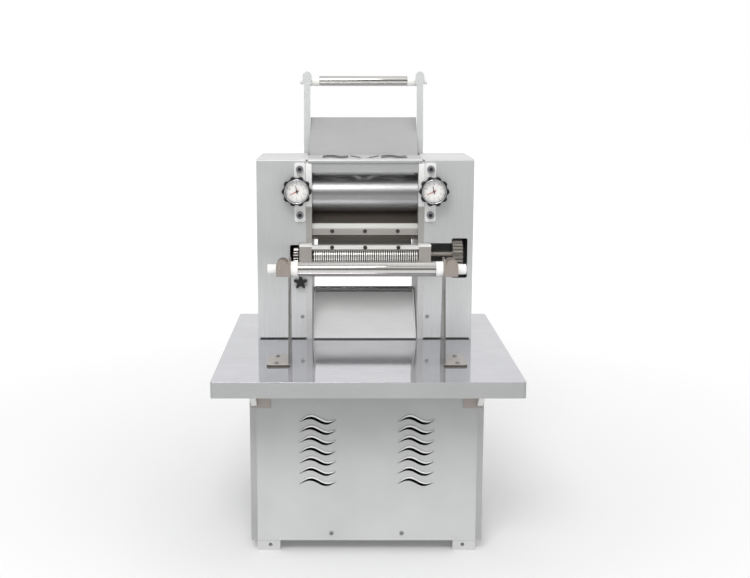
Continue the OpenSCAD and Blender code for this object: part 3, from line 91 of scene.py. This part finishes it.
room = bpy.data.worlds.new("studio")
bpy.context.scene.world = room
room.use_nodes = True
sky = room.node_tree
sky.nodes.clear()
white = (1.0, 1.0, 1.0, 1.0)
seen = add(sky, "ShaderNodeLightPath")
where = add(sky, "ShaderNodeTexCoord")
split = add(sky, "ShaderNodeSeparateXYZ", links=[(0, where.outputs["Generated"])])
height = add(sky, "ShaderNodeMapRange", [("From Min", -1.0), ("From Max", 1.0)],
             [("Value", split.outputs["Z"])])
heights = [(0.0, "B0B0B0"), (0.15, "D8D8D8"), (0.25, "585858"), (0.36, "444444"), (0.42, "BEBEBE"),
           (0.5, "B4B4B4"), (0.6, "484848"), (0.74, "C8C8C8"), (0.84, "FFFFFF"), (0.90, "E4E4E4"),
           (0.93, "585858"), (1.0, "282828")]
bands = add(sky, "ShaderNodeValToRGB", [("stops", heights)], [(0, height.outputs[0])])
behind = add(sky, "ShaderNodeMapRange", [("From Min", 0.25), ("From Max", 0.5)],
             [("Value", split.outputs["Y"])])
mirrored = add(sky, "ShaderNodeMix", [("data_type", "RGBA"), (7, white)],
               [(0, behind.outputs[0]), (6, bands.outputs[0])])
shiny = add(sky, "ShaderNodeBackground", [("Strength", 1.0)], [("Color", mirrored.outputs[2])])
soft = add(sky, "ShaderNodeBackground", [("Color", white), ("Strength", 0.69)])
plain = add(sky, "ShaderNodeBackground", [("Color", white), ("Strength", 1.0)])
lights = add(sky, "ShaderNodeMixShader",
             links=[(0, seen.outputs["Is Glossy Ray"]), (1, soft.outputs[0]), (2, shiny.outputs[0])])
pick = add(sky, "ShaderNodeMixShader",
           links=[(0, seen.outputs["Is Camera Ray"]), (1, lights.outputs[0]), (2, plain.outputs[0])])
add(sky, "ShaderNodeOutputWorld", links=[(0, pick.outputs[0])])

# The low bank fills the shade under the head. It is kept out of reflections, where it would band the rollers.
middle = Vector((0.0, 0.0, 0.5))
for name, place, size, power in (
    ("ceiling_bank", (0.3, -0.2, 2.9), 1.8, 9.0),
    ("front_bank", (-0.5, -2.3, 2.9), 1.2, 36.0),
    ("low_bank", (0.1, -2.7, 0.9), 1.2, 8.0),
):
    lamp = bpy.data.lights.new(name, "AREA")
    lamp.shape = "SQUARE"
    lamp.size = size
    lamp.energy = power
    lamp_object = bpy.data.objects.new(name, lamp)
    lamp_object.location = place
    lamp_object.visible_glossy = name != "low_bank"
    aim = middle - Vector(place)
    lamp_object.rotation_euler = aim.to_track_quat("-Z", "Y").to_euler()
    bpy.context.scene.collection.objects.link(lamp_object)

floor_shape = bmesh.new()
bmesh.ops.create_grid(floor_shape, x_segments=1, y_segments=1, size=14.0)
floor_mesh = bpy.data.meshes.new("floor")
floor_shape.to_mesh(floor_mesh)
floor_shape.free()
floor = bpy.data.objects.new("floor", floor_mesh)
bpy.context.scene.collection.objects.link(floor)
# Matt white paper: it shows a soft shadow round the feet, and to the camera it turns white further off.
paper = bpy.data.materials.new("matt_white_paper")
paper.use_nodes = True
sweep = paper.node_tree
sheet = sweep.nodes["Principled BSDF"]
sheet.inputs["Base Color"].default_value = linear("EBEBEB")
sheet.inputs["Roughness"].default_value = 0.9
path = add(sweep, "ShaderNodeLightPath")
spot = add(sweep, "ShaderNodeTexCoord")
far = add(sweep, "ShaderNodeVectorMath", [("operation", "LENGTH")], [(0, spot.outputs["Object"])])
fill = add(sweep, "ShaderNodeMapRange",
           [("From Min", 0.5), ("From Max", 3.0), ("To Min", 0.12), ("To Max", 0.5)],
           [("Value", far.outputs["Value"])])
share = add(sweep, "ShaderNodeMath", [("operation", "MULTIPLY")],
            [(0, path.outputs["Is Camera Ray"]), (1, fill.outputs[0])])
glow = add(sweep, "ShaderNodeEmission", [("Color", white)], [("Strength", share.outputs[0])])
lit = add(sweep, "ShaderNodeAddShader", links=[(0, sheet.outputs[0]), (1, glow.outputs[0])])
sweep.links.new(lit.outputs[0], sweep.nodes["Material Output"].inputs["Surface"])
floor_mesh.materials.append(paper)


# Cabinet: mild steel panels in satin silver spray paint, on a welded angle frame that stands on four feet.
# The front panel is screwed on and has two groups of pressed louvres.
def coat(name, colour, darker, rough, grain_mm, along=(1, 1, 1), metallic=0.0, bump=0.05, ease_mm=0.8,
         edge_wear_and_highlight=None):
    """A finish of two close tones, whose tone, roughness and relief follow a grain of a given width.
    Brush lines and peel are really 0.1 to 0.3 mm wide, and are drawn about 1 to 3 mm wide so that they show.
    Edges are eased, and where an edge tone is given they take it: wear with a painted highlight."""
    finish = bpy.data.materials.new(name)
    finish.use_nodes = True
    tree = finish.node_tree
    skin = tree.nodes["Principled BSDF"]
    skin.inputs["Metallic"].default_value = metallic
    place = add(tree, "ShaderNodeTexCoord")
    drawn = add(tree, "ShaderNodeMapping", [("Scale", along)], [(0, place.outputs["Object"])])
    grain = add(tree, "ShaderNodeTexNoise", [("Scale", 1000 / grain_mm), ("Detail", 3.0)],
                [(0, drawn.outputs[0])])
    clouds_per_metre = 9.0
    cloud = add(tree, "ShaderNodeTexNoise", [("Scale", clouds_per_metre), ("Detail", 2.0)],
                [(0, place.outputs["Object"])])
    both = add(tree, "ShaderNodeMath", [("operation", "ADD")], [(0, grain.outputs[0]), (1, cloud.outputs[0])])
    level = add(tree, "ShaderNodeMapRange", [("name", "level"), ("From Min", 0.7), ("From Max", 1.3)],
                [("Value", both.outputs[0])])
    tones = add(tree, "ShaderNodeValToRGB", [("stops", [(0.0, darker), (1.0, colour)])],
                [(0, level.outputs[0])])
    tree.links.new(tones.outputs[0], skin.inputs["Base Color"])
    gloss = add(tree, "ShaderNodeMapRange", [("To Min", rough * 0.8), ("To Max", rough * 1.2)],
                [("Value", grain.outputs[0])])
    tree.links.new(gloss.outputs[0], skin.inputs["Roughness"])
    eased = add(tree, "ShaderNodeBevel", [("samples", 4), ("Radius", ease_mm / 1000)])
    relief = add(tree, "ShaderNodeBump", [("Strength", bump), ("Distance", 0.0004)],
                 [("Height", grain.outputs[0]), ("Normal", eased.outputs[0])])
    tree.links.new(relief.outputs[0], skin.inputs["Normal"])
    if edge_wear_and_highlight:
        flat = add(tree, "ShaderNodeNewGeometry")
        turn = add(tree, "ShaderNodeVectorMath", [("operation", "DOT_PRODUCT")],
                   [(0, eased.outputs[0]), (1, flat.outputs["Normal"])])
        edge = add(tree, "ShaderNodeMapRange", [("From Min", 0.96), ("From Max", 0.8)],
                   [("Value", turn.outputs["Value"])])
        tint(finish, edge.outputs[0], "Base Color", linear(edge_wear_and_highlight))
    return finish


def beyond(finish, axis, low, high):
    """How far along X, Y or Z a point lies between two places in metres, from 0 to 1."""
    tree = finish.node_tree
    place = add(tree, "ShaderNodeTexCoord")
    parts = add(tree, "ShaderNodeSeparateXYZ", links=[(0, place.outputs["Object"])])
    return add(tree, "ShaderNodeMapRange", [("From Min", low), ("From Max", high)],
               [("Value", parts.outputs[axis])]).outputs[0]


def tint(finish, mask, socket, value):
    """Where the mask is 1, gives a socket of the finish another value, which still varies with the grain."""
    tree = finish.node_tree
    goal = tree.nodes["Principled BSDF"].inputs[socket]
    vary = add(tree, "ShaderNodeMapRange", [("To Min", 0.92), ("To Max", 1.05)],
               [("Value", tree.nodes["level"].outputs[0])])
    # The sockets of a Mix node for its two values and its result depend on what it mixes.
    if socket == "Base Color":
        kind, old, new, out = "RGBA", 6, 7, 2
        fresh = add(tree, "ShaderNodeHueSaturation", [("Color", value)], [("Value", vary.outputs[0])])
    else:
        kind, old, new, out = "FLOAT", 2, 3, 0
        fresh = add(tree, "ShaderNodeMath", [("operation", "MULTIPLY"), ("use_clamp", True), (1, value)],
                    [(0, vary.outputs[0])])
    change = add(tree, "ShaderNodeMix", [("data_type", kind)], [(0, mask), (new, fresh.outputs[0])])
    if goal.links:
        tree.links.new(goal.links[0].from_socket, change.inputs[old])
    else:
        change.inputs[old].default_value = goal.default_value
    tree.links.new(change.outputs[out], goal)


def dress(finish, *names):
    """Puts one finish on whole CAD nodes."""
    for name in names:
        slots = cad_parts[name].data.materials
        if not slots:
            slots.append(finish)
        for i in range(len(slots)):
            slots[i] = finish


# Fine silver spray: an even satin grey with a slight orange peel, with painted light that makes it lighter
# towards the floor, a painted highlight on the louvre hoods, which stand 2.5 mm proud of the panel, and
# edges that take wear and a painted highlight.
panel_paint = coat("silver_spray_paint", "B5B6B6", "AEAFAF", 0.42, 1.2, metallic=0.15, edge_wear_and_highlight="D4D5D5")
tint(panel_paint, beyond(panel_paint, "Z", 0.30, 0.02), "Base Color", linear("D6D7D7"))
tint(panel_paint, beyond(panel_paint, "Y", -0.2070, -0.2080), "Base Color", linear("F0F0F0"))
dress(panel_paint, "front_panel", "side_panels", "back_panel")
# The same spray over rolled angle: a darker upright line beside the panels, paler feet, and wear with a
# painted highlight on the edges.
leg_paint = coat("sprayed_angle_steel", "B5B5B6", "ABABAC", 0.4, 1.2, metallic=0.15, edge_wear_and_highlight="CFCFCF")
tint(leg_paint, beyond(leg_paint, "Z", 0.024, 0.020), "Base Color", linear("D9D9D9"))
dress(leg_paint, "base_frame", "motor_shelf")

# Table braces: flat bar struts, welded to pads that sit on the front panel under the table.
# Bright zinc on the struts, and a brown painted shade on the pads under the table.
brace_zinc = coat("zinc_plated_bar", "F0F0EF", "E4E4E3", 0.35, 1.2, metallic=0.1)
tint(brace_zinc, beyond(brace_zinc, "Y", -0.2155, -0.2135), "Base Color", linear("A79F99"))
dress(brace_zinc, "table_braces")

# Table: a stainless pan with folded lips, laid on the cabinet and carrying the head and the front stand.
# The top is polished and mirrors the head, and the brushed lip is duller, with wear and a painted highlight
# on its bright fold.
table_steel = coat("polished_stainless", "AFB0B0", "A8A9A9", 0.34, 2.5, along=(0.06, 1, 1), metallic=0.25,
                   bump=0.02, ease_mm=1.2, edge_wear_and_highlight="DCDCDC")
table_face = beyond(table_steel, "Z", 0.3905, 0.3915)
tint(table_steel, table_face, "Base Color", linear("C3C3C8"))
tint(table_steel, table_face, "Roughness", 0.07)
tint(table_steel, table_face, "Metallic", 0.72)
dress(table_steel, "table_top")

# Head covers and top guard: stainless sheet, bent over at the top and screwed to lugs on the side frames.
# Upright brushing in a satin grey, with a painted highlight on the top folds and the edges, and painted light
# that makes the foot above the table lighter.
cover_steel = coat("brushed_stainless", "C4C5C5", "BBBCBC", 0.38, 1.6, along=(1, 1, 0.03), metallic=0.2,
                   bump=0.03, edge_wear_and_highlight="DCDDDD")
tint(cover_steel, beyond(cover_steel, "Z", 0.7925, 0.7965), "Base Color", linear("D9D9D9"))
tint(cover_steel, beyond(cover_steel, "Z", 0.60, 0.44), "Base Color", linear("E2E3E3"))
dress(cover_steel, "left_cover", "right_cover")
# Brushing across the guard, a painted highlight on the top and the edges, and painted shade as dark rims
# on the raised ribs beside its vents.
guard_steel = coat("cross_brushed_stainless", "BBBCBC", "AFB0B0", 0.34, 1.6, along=(0.03, 1, 1), metallic=0.3,
                   bump=0.03, edge_wear_and_highlight="D2D3D3")
tint(guard_steel, beyond(guard_steel, "Z", 0.7925, 0.7955), "Base Color", linear("D6D6D6"))
tint(guard_steel, beyond(guard_steel, "Z", 0.7974, 0.7980), "Base Color", linear("6E6E6E"))
dress(guard_steel, "top_guard")

# Side frames: cast iron plates that carry the rollers and the cutter, bolted to the table.
# White enamel on the edges beside the rollers, a grey painted shade below them and inside, and a paler foot.
frame_enamel = coat("enamelled_casting", "F6F6F5", "EAEAE9", 0.4, 3.0, bump=0.1)
tint(frame_enamel, beyond(frame_enamel, "Z", 0.694, 0.690), "Base Color", linear("A3A19E"))
tint(frame_enamel, beyond(frame_enamel, "Y", 0.060, 0.085), "Base Color", linear("8E8C89"))
tint(frame_enamel, beyond(frame_enamel, "Z", 0.600, 0.596), "Base Color", linear("CFCFCE"))
dress(frame_enamel, "left_side_frame", "right_side_frame")

# Press rollers: ground steel with hard chrome, in bearing blocks that slide in the side frames.
# Satin chrome: two soft bright bands along the roller, and dark where it turns under the guard.
roller_chrome = coat("satin_hard_chrome", "AEAEAE", "A4A4A4", 0.36, 1.5, along=(1, 0.05, 0.05), metallic=1.0,
                     bump=0.0)
dress(roller_chrome, "front_roller", "rear_roller")
# Machined cast iron: a dull blue grey with fine tool marks.
block_iron = coat("machined_cast_iron", "8A8C8D", "767879", 0.4, 1.4, metallic=0.6, bump=0.06)
dress(block_iron, "bearing_blocks", "tie_rods")

# Scrapers and guide plate: stainless strips below the rollers that free the dough and lead it to the cutter.
# A bright chamfer, a darker face below it, and a blade painted dark as shade under the roller.
scraper_steel = coat("ground_scraper_steel", "D0D0CC", "C0C0BC", 0.5, 1.4, along=(0.03, 1, 1), metallic=0.1,
                     bump=0.03)
tint(scraper_steel, beyond(scraper_steel, "Z", 0.6520, 0.6526), "Base Color", linear("4A443F"))
tint(scraper_steel, beyond(scraper_steel, "Z", 0.6425, 0.6400), "Base Color", linear("A5A29E"))
dress(scraper_steel, "scrapers")
# Plain brushed sheet, warm grey under the head.
guide_steel = coat("brushed_guide_sheet", "BDB8B2", "A5A09A", 0.3, 1.6, along=(0.03, 1, 1), metallic=0.1,
                   bump=0.03)
dress(guide_steel, "guide_plate")


# Ring cutter: two meshing ring knives of hardened steel between milled end blocks, under a screwed bar.
# White clamp plates hold the blocks in the side frames.
def around(finish, y, z, low, high):
    """How far a point lies between two radii in metres from an axis along X, from 0 to 1."""
    tree = finish.node_tree
    place = add(tree, "ShaderNodeTexCoord")
    moved = add(tree, "ShaderNodeVectorMath", [("operation", "SUBTRACT"), (1, (0, y, z))],
                [(0, place.outputs["Object"])])
    flat = add(tree, "ShaderNodeVectorMath", [("operation", "MULTIPLY"), (1, (0, 1, 1))],
               [(0, moved.outputs[0])])
    away = add(tree, "ShaderNodeVectorMath", [("operation", "LENGTH")], [(0, flat.outputs[0])])
    return add(tree, "ShaderNodeMapRange", [("From Min", low), ("From Max", high)],
               [("Value", away.outputs["Value"])]).outputs[0]


# Ground ring edges that shine against grooves painted dark, as painted shade with oil in them.
ring_steel = coat("hardened_ring_steel", "FBFAF6", "EFEDE8", 0.25, 1.0, metallic=0.45, bump=0.02, ease_mm=0.2)
tint(ring_steel, around(ring_steel, 0.036, 0.583, 0.0150, 0.0140), "Base Color", linear("3C3834"))
dress(ring_steel, "front_knife")
# Ground shafting with a brown film of oil.
shaft_steel = coat("oiled_shaft_steel", "A39B94", "8E8781", 0.28, 1.0, metallic=0.7, bump=0.02)
dress(shaft_steel, "rear_knife", "cutter_combs")
# Milled blocks in a warm grey, with cutter lines across them.
block_steel = coat("milled_block_steel", "B3AEA8", "A19C96", 0.32, 1.4, along=(1, 0.1, 1), metallic=0.3)
dress(block_steel, "cutter_blocks")
# A bright drawn bar with lines along it.
bar_steel = coat("bright_drawn_bar", "F0EFEC", "E2E1DE", 0.3, 1.4, along=(0.05, 1, 1), metallic=0.2,
                 bump=0.03)
dress(bar_steel, "cutter_bar")
# White powder coat: a flat white with a faint peel and no sparkle.
white_coat = coat("white_powder_coat", "F8F8F6", "EEEEEC", 0.45, 1.0, bump=0.06)
dress(white_coat, "clamp_plates", "adjuster_plates")


# Screws and bolts: pan head machine screws with a cross recess hold the front panel, the scraper, the
# cutter's bar, the covers and both stands. Four black socket bolts hold the adjuster plates.
def finished(name, shape, finish, body):
    """Turns a bmesh into a piece that rides on a body."""
    mesh = bpy.data.meshes.new(name)
    shape.to_mesh(mesh)
    shape.free()
    mesh.materials.append(finish)
    piece = bpy.data.objects.new(name, mesh)
    bpy.context.scene.collection.objects.link(piece)
    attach(piece, body)
    return piece


# Zinc plate with a soft shine. It is greyer on the screws at the front, and darker on those of the cutter's
# bar and the scraper.
screw_zinc = coat("zinc_plated_screws", "C9CBCC", "B5B7B8", 0.25, 0.8, metallic=0.6, bump=0.03, ease_mm=0.2)
tint(screw_zinc, beyond(screw_zinc, "Y", 0.0195, 0.0190), "Base Color", linear("4A4846"))
tint(screw_zinc, beyond(screw_zinc, "Y", -0.10, -0.12), "Base Color", linear("9C9D9D"))
tint(screw_zinc, around(screw_zinc, 0.055, 0.636, 0.012, 0.011), "Base Color", linear("5A5856"))
head_top = 0.0025
head_flat = 0.0031
arm = 0.0023
half_arm = 0.0006
recess_deep = 0.0014
recess_taper = 0.6
# The head's outline and the shank, as radius and height from the seat.
screw_steps = [(0.0040, 0.0021), (0.0045, 0.0013), (0.0045, 0.0), (0.0025, 0.0), (0.0025, -0.005)]
screw = bmesh.new()
cross = [(arm, half_arm), (half_arm, half_arm), (half_arm, arm)]
cross += [(-y, x) for x, y in cross]
cross += [(-x, -y) for x, y in cross]
corners = [screw.verts.new((x, y, head_top)) for x, y in cross]
recess = [screw.edges.new(pair) for pair in zip(corners, corners[1:] + corners[:1])]
rim = bmesh.ops.create_circle(screw, segments=24, radius=head_flat,
                              matrix=Matrix.Translation((0, 0, head_top)))["verts"]
ring = list({edge for vert in rim for edge in vert.link_edges})
bmesh.ops.triangle_fill(screw, use_beauty=True, edges=recess + ring)
sunk = bmesh.ops.extrude_edge_only(screw, edges=recess)["geom"]
floor_verts = [g for g in sunk if isinstance(g, bmesh.types.BMVert)]
bmesh.ops.scale(screw, vec=(recess_taper, recess_taper, 1), verts=floor_verts)
bmesh.ops.translate(screw, vec=(0, 0, -recess_deep), verts=floor_verts)
floor_edges = [e for e in screw.edges if all(v in floor_verts for v in e.verts)]
bmesh.ops.triangle_fill(screw, use_beauty=True, edges=floor_edges)
for radius, z in screw_steps:
    grown = bmesh.ops.extrude_edge_only(screw, edges=ring)["geom"]
    rim = [g for g in grown if isinstance(g, bmesh.types.BMVert)]
    ring = [e for e in screw.edges if all(v in rim for v in e.verts)]
    wider = radius / rim[0].co.xy.length
    bmesh.ops.scale(screw, vec=(wider, wider, 1), verts=rim)
    bmesh.ops.translate(screw, vec=(0, 0, z - rim[0].co.z), verts=rim)
    for face in {f for e in ring for f in e.link_faces}:
        face.smooth = z > 0
bmesh.ops.edgeloop_fill(screw, edges=ring)
bmesh.ops.recalc_face_normals(screw, faces=screw.faces)
screw_form = bpy.data.meshes.new("screw_form")
screw.to_mesh(screw_form)
screw.free()
# Each seat has its place and the lean of its screw. They come in turn on the front panel, scraper,
# cutter bar, covers, rear stand and front stand.
pitch = 0.073
seats = [(x, -0.2065, 0.038, 90) for x in (-pitch, pitch)]
seats += [(x, 0.056, 0.636, 90) for x in (-pitch, 0.0, pitch)]
seats += [(x, 0.018, 0.60475, 90) for x in (-pitch, 0.0, pitch)]
seats += [(x, 0.046, 0.444, 90) for x in (-0.140, 0.140)]
seats += [(x, 0.259, z, -90) for x in (-0.1245, 0.1245) for z in (0.712, 0.772)]
seats += [(x, y, 0.396, 0) for x in (-0.186, 0.186) for y in (-0.183, -0.127)]
driven = 0.7
screws = bmesh.new()
for i, (x, y, z, lean) in enumerate(seats):
    copy = screw_form.copy()
    copy.transform(Matrix.Translation((x, y, z)) @ Matrix.Rotation(math.radians(lean), 4, "X")
                   @ Matrix.Rotation(driven * i, 4, "Z"))
    screws.from_mesh(copy)
    bpy.data.meshes.remove(copy)
bpy.data.meshes.remove(screw_form)
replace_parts(finished("cross_screws", screws, screw_zinc, "frame"), "small_screws")
# Black oxide: near black in the sockets, and grey on the faces round them.
bolt_black = coat("black_oxide_bolts", "3A3B40", "2C2D31", 0.3, 0.8, metallic=0.4, bump=0.03)
bolt_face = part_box("adjuster_bolts")[0][1]
grey_front = beyond(bolt_black, "Y", bolt_face + 0.0010, bolt_face + 0.0002)
tint(bolt_black, grey_front, "Base Color", linear("85868A"))
dress(bolt_black, "adjuster_bolts")

# Gears and shafts: cut steel gears behind the covers, and the cutter's gear in its window.
# Oiled steel, with edges and tooth tips paler from wear and a painted highlight.
gear_steel = coat("oiled_gear_steel", "A9A69F", "8B8882", 0.3, 1.2, metallic=0.7, edge_wear_and_highlight="C9C6C0")
dress(gear_steel, "rear_roller_gear", "front_roller_gear", "bull_gear", "compound_gear", "transfer_gear")
dress(gear_steel, "idler_gear", "cutter_gear")
dress(shaft_steel, "gear_axles", "countershaft", "motor_shaft", "left_adjuster_screw", "right_adjuster_screw")

# Drive: a finned motor on the shelf in the cabinet, two cast pulleys and a V belt up through the table.
# Rough cast iron under thin dark paint, paler at the edges from wear and a painted highlight.
pulley_iron = coat("painted_cast_iron", "4E5153", "424547", 0.5, 2.0, metallic=0.2, bump=0.2, edge_wear_and_highlight="85888A")
dress(pulley_iron, "motor_pulley", "big_pulley")
# Blue grey enamel over a sand casting.
motor_enamel = coat("motor_enamel", "66727A", "5A656C", 0.4, 2.0, bump=0.12)
dress(motor_enamel, "motor_body")
# Matt black rubber with a fabric grain.
belt_rubber = coat("belt_rubber", "242425", "191919", 0.7, 0.8, bump=0.3)
dress(belt_rubber, "drive_belt")

# Switch and cable gland: a moulded station with two buttons on the back panel, and a screwed gland below it.
# Cream plastic with a spark-eroded texture.
switch_abs = coat("cream_abs", "DAD7CC", "D0CDC2", 0.45, 0.8, bump=0.08)
dress(switch_abs, "switch_box")
# Glossy coloured caps.
green_cap = coat("green_abs", "2F8D4C", "277B41", 0.25, 1.0, bump=0.03)
dress(green_cap, "start_button")
red_cap = coat("red_abs", "C23A2C", "AE3226", 0.25, 1.0, bump=0.03)
dress(red_cap, "stop_button")
# Black nylon, dull with a little haze.
black_nylon = coat("black_nylon", "242526", "1B1C1D", 0.5, 1.0)
dress(black_nylon, "cable_gland")

# Handwheels and dials: lobed wheels on the adjuster screws. Each has a bezel pressed into its rim and two
# hands on its spindle, over a dial plate that hangs upright. A turn is 2 mm of roller gap, in 40 steps.
# Black phenolic: a deep black with a soft moulded shine, and paler edges from wear and a painted highlight.
phenolic = coat("black_phenolic", "1A1A1B", "111112", 0.28, 1.5, bump=0.04, edge_wear_and_highlight="3A3A3C")
dress(phenolic, "left_handwheel", "right_handwheel", "star_knob")
# Dial enamel: a warm, even white behind the marks.
dial_enamel = coat("dial_enamel", "FDFCFA", "F7F6F3", 0.4, 1.0, bump=0.02)
dress(dial_enamel, "left_dial", "right_dial")
# Bright chrome, a thin glint round each dial.
bezel_chrome = coat("bezel_chrome", "D4D6D8", "C2C4C6", 0.14, 1.0, metallic=1.0, bump=0.01)
# Brown and red enamels for the hands, and a faded brown ink for the scale.
hand_brown = coat("brown_hand_enamel", "5A2F2A", "4A2622", 0.35, 0.8, bump=0.02)
hand_red = coat("red_hand_enamel", "D0694F", "BE5A42", 0.35, 0.8, bump=0.02)
scale_ink = coat("brown_scale_ink", "8A6A62", "785A53", 0.5, 0.6, bump=0.02)
wheel_x = 0.150
dial_z = 0.728
dial_face = 0.0221
marks_out = 0.0225
steps = 40
long_mark = (0.0007, 0.0002, 0.0036)
short_mark = (0.0004, 0.0002, 0.0018)
figures_in = 0.0158
figure_high = 0.0044
hand_tail = 0.005
hand_thick = 0.0005
hub_r = 0.0021
hub_thick = 0.0007
bezel_outline = [(0.0272, 0.0134), (0.0273, 0.0122), (0.0267, 0.0112), (0.0257, 0.0109), (0.0247, 0.0114),
                 (0.0243, 0.0134)]
for side, x in (("left", -wheel_x), ("right", wheel_x)):
    centre = Vector((x, 0.0, dial_z))
    bezel = bmesh.new()
    corners = [bezel.verts.new((x + r, y, dial_z)) for r, y in bezel_outline]
    for pair in zip(corners, corners[1:] + corners[:1]):
        bezel.edges.new(pair)
    bmesh.ops.spin(bezel, geom=bezel.verts[:] + bezel.edges[:], cent=centre, axis=(0, 1, 0), angle=math.tau,
                   steps=64, use_merge=True)
    bmesh.ops.recalc_face_normals(bezel, faces=bezel.faces)
    for face in bezel.faces:
        face.smooth = True
    finished(side + "_bezel", bezel, bezel_chrome, side + "_wheel")
    for name, enamel, length, width, turn, y in (
        ("short_hand", hand_brown, 0.013, 0.0024, -12, 0.0198),
        ("long_hand", hand_red, 0.0175, 0.0022, -118, 0.0205),
    ):
        hand = bmesh.new()
        bar = Matrix.Diagonal((width, hand_thick, length + hand_tail, 1.0))
        bmesh.ops.create_cube(hand, size=1.0, matrix=bar)
        bmesh.ops.translate(hand, vec=(0, 0, (length - hand_tail) / 2), verts=hand.verts)
        bmesh.ops.scale(hand, vec=(0.35, 1, 1), verts=[v for v in hand.verts if v.co.z > 0])
        bmesh.ops.create_cone(hand, cap_ends=True, segments=24, radius1=hub_r, radius2=hub_r, depth=hub_thick,
                              matrix=Matrix.Rotation(math.radians(90), 4, "X"))
        bmesh.ops.rotate(hand, cent=(0, 0, 0), matrix=Matrix.Rotation(math.radians(turn), 3, "Y"),
                         verts=hand.verts)
        bmesh.ops.translate(hand, vec=(x, y, dial_z), verts=hand.verts)
        finished(side + "_" + name, hand, enamel, side + "_wheel")
    scale = bmesh.new()
    for i in range(steps):
        mark = long_mark if i % 4 == 0 else short_mark
        turned = Matrix.Translation(centre) @ Matrix.Rotation(math.tau * i / steps, 4, "Y")
        place = Matrix.Translation((0, dial_face, marks_out - mark[2] / 2))
        bmesh.ops.create_cube(scale, size=1.0, matrix=turned @ place @ Matrix.Diagonal((*mark, 1.0)))
    for i in range(10):
        figure = bpy.data.curves.new("figure", "FONT")
        figure.body = str(i)
        figure.size = figure_high
        figure.extrude = long_mark[1] / 2
        figure.align_x = "CENTER"
        figure.align_y = "CENTER"
        holder = bpy.data.objects.new("figure", figure)
        printed = bpy.data.meshes.new_from_object(holder)
        angle = math.tau * i / 10
        spot = (x + figures_in * math.sin(angle), dial_face, dial_z + figures_in * math.cos(angle))
        printed.transform(Matrix.Translation(spot) @ Matrix.Rotation(math.radians(90), 4, "X"))
        scale.from_mesh(printed)
        bpy.data.objects.remove(holder)
        bpy.data.curves.remove(figure)
        bpy.data.meshes.remove(printed)
    bmesh.ops.remove_doubles(scale, verts=scale.verts, dist=0.000002)
    finished(side + "_dial_scale", scale, scale_ink, side + "_dial_plate")

# Front stand: two bent stainless plates screwed to the table, with hooked tabs that hold the dough pin.
# A dull grey sheet that turns taupe on the tabs and paler on the foot plates, with a painted shade along
# their bottom edge on the table.
stand_steel = coat("bent_stainless_plate", "8E8D8C", "807F7E", 0.25, 1.8, along=(1, 1, 0.05), metallic=0.5,
                   bump=0.03)
tint(stand_steel, beyond(stand_steel, "Z", 0.571, 0.575), "Base Color", linear("A69C95"))
tint(stand_steel, beyond(stand_steel, "Z", 0.3985, 0.3970), "Base Color", linear("C4BEB8"))
tint(stand_steel, beyond(stand_steel, "Z", 0.3957, 0.3953), "Base Color", linear("6B625B"))
dress(stand_steel, "front_stand")

# Dough pins: steel tubes that turn on nylon ends, dropped into the notches of the two stands.
# Bright chrome, with sharp light and dark lines along the tube.
pin_chrome = coat("bright_pin_chrome", "D8D6D3", "CCCAC7", 0.05, 1.5, along=(1, 0.05, 0.05), metallic=1.0,
                  bump=0.01)
dress(pin_chrome, "front_pin_tube", "rear_pin_tube")
# Turned nylon: a waxy white with fine rings.
white_nylon = coat("turned_white_nylon", "FAFAF7", "F1F1ED", 0.4, 0.8, along=(1, 0.1, 0.1), bump=0.04)
dress(white_nylon, "front_pin_bushes", "rear_pin_bushes")

# Noodle chute: thin polished sheet between the side frames, hooked over a rod by its rolled hem.
# A pale sheet, with a hem that mirrors the room in two dark lines, and a painted shade along its edge
# on the table.
chute_steel = coat("polished_chute_sheet", "FAFAFA", "F0F0F0", 0.24, 1.8, along=(0.05, 1, 1), metallic=0.05,
                   bump=0.03)
hem = around(chute_steel, 0.181, 0.481, 0.0080, 0.0074)
tint(chute_steel, hem, "Base Color", linear("9A9A9A"))
tint(chute_steel, hem, "Metallic", 1.0)
tint(chute_steel, hem, "Roughness", 0.12)
tint(chute_steel, beyond(chute_steel, "Z", 0.3955, 0.3945), "Base Color", linear("4C4C4E"))
dress(chute_steel, "noodle_chute")

# Rear stand and feed board: bent stainless posts screwed to the back of the head, and a sheet between them
# that leads dough to the rollers.
# A light satin sheet on the posts.
post_steel = coat("satin_stainless_post", "D2D3D3", "C6C7C7", 0.4, 1.8, along=(1, 1, 0.05), metallic=0.1,
                  bump=0.03)
dress(post_steel, "rear_stand")
# A greyer, even satin on the board.
board_steel = coat("satin_stainless_board", "B4B4B5", "ACACAD", 0.45, 1.6, along=(0.03, 1, 1), metallic=0.05,
                   bump=0.03)
dress(board_steel, "feed_board")
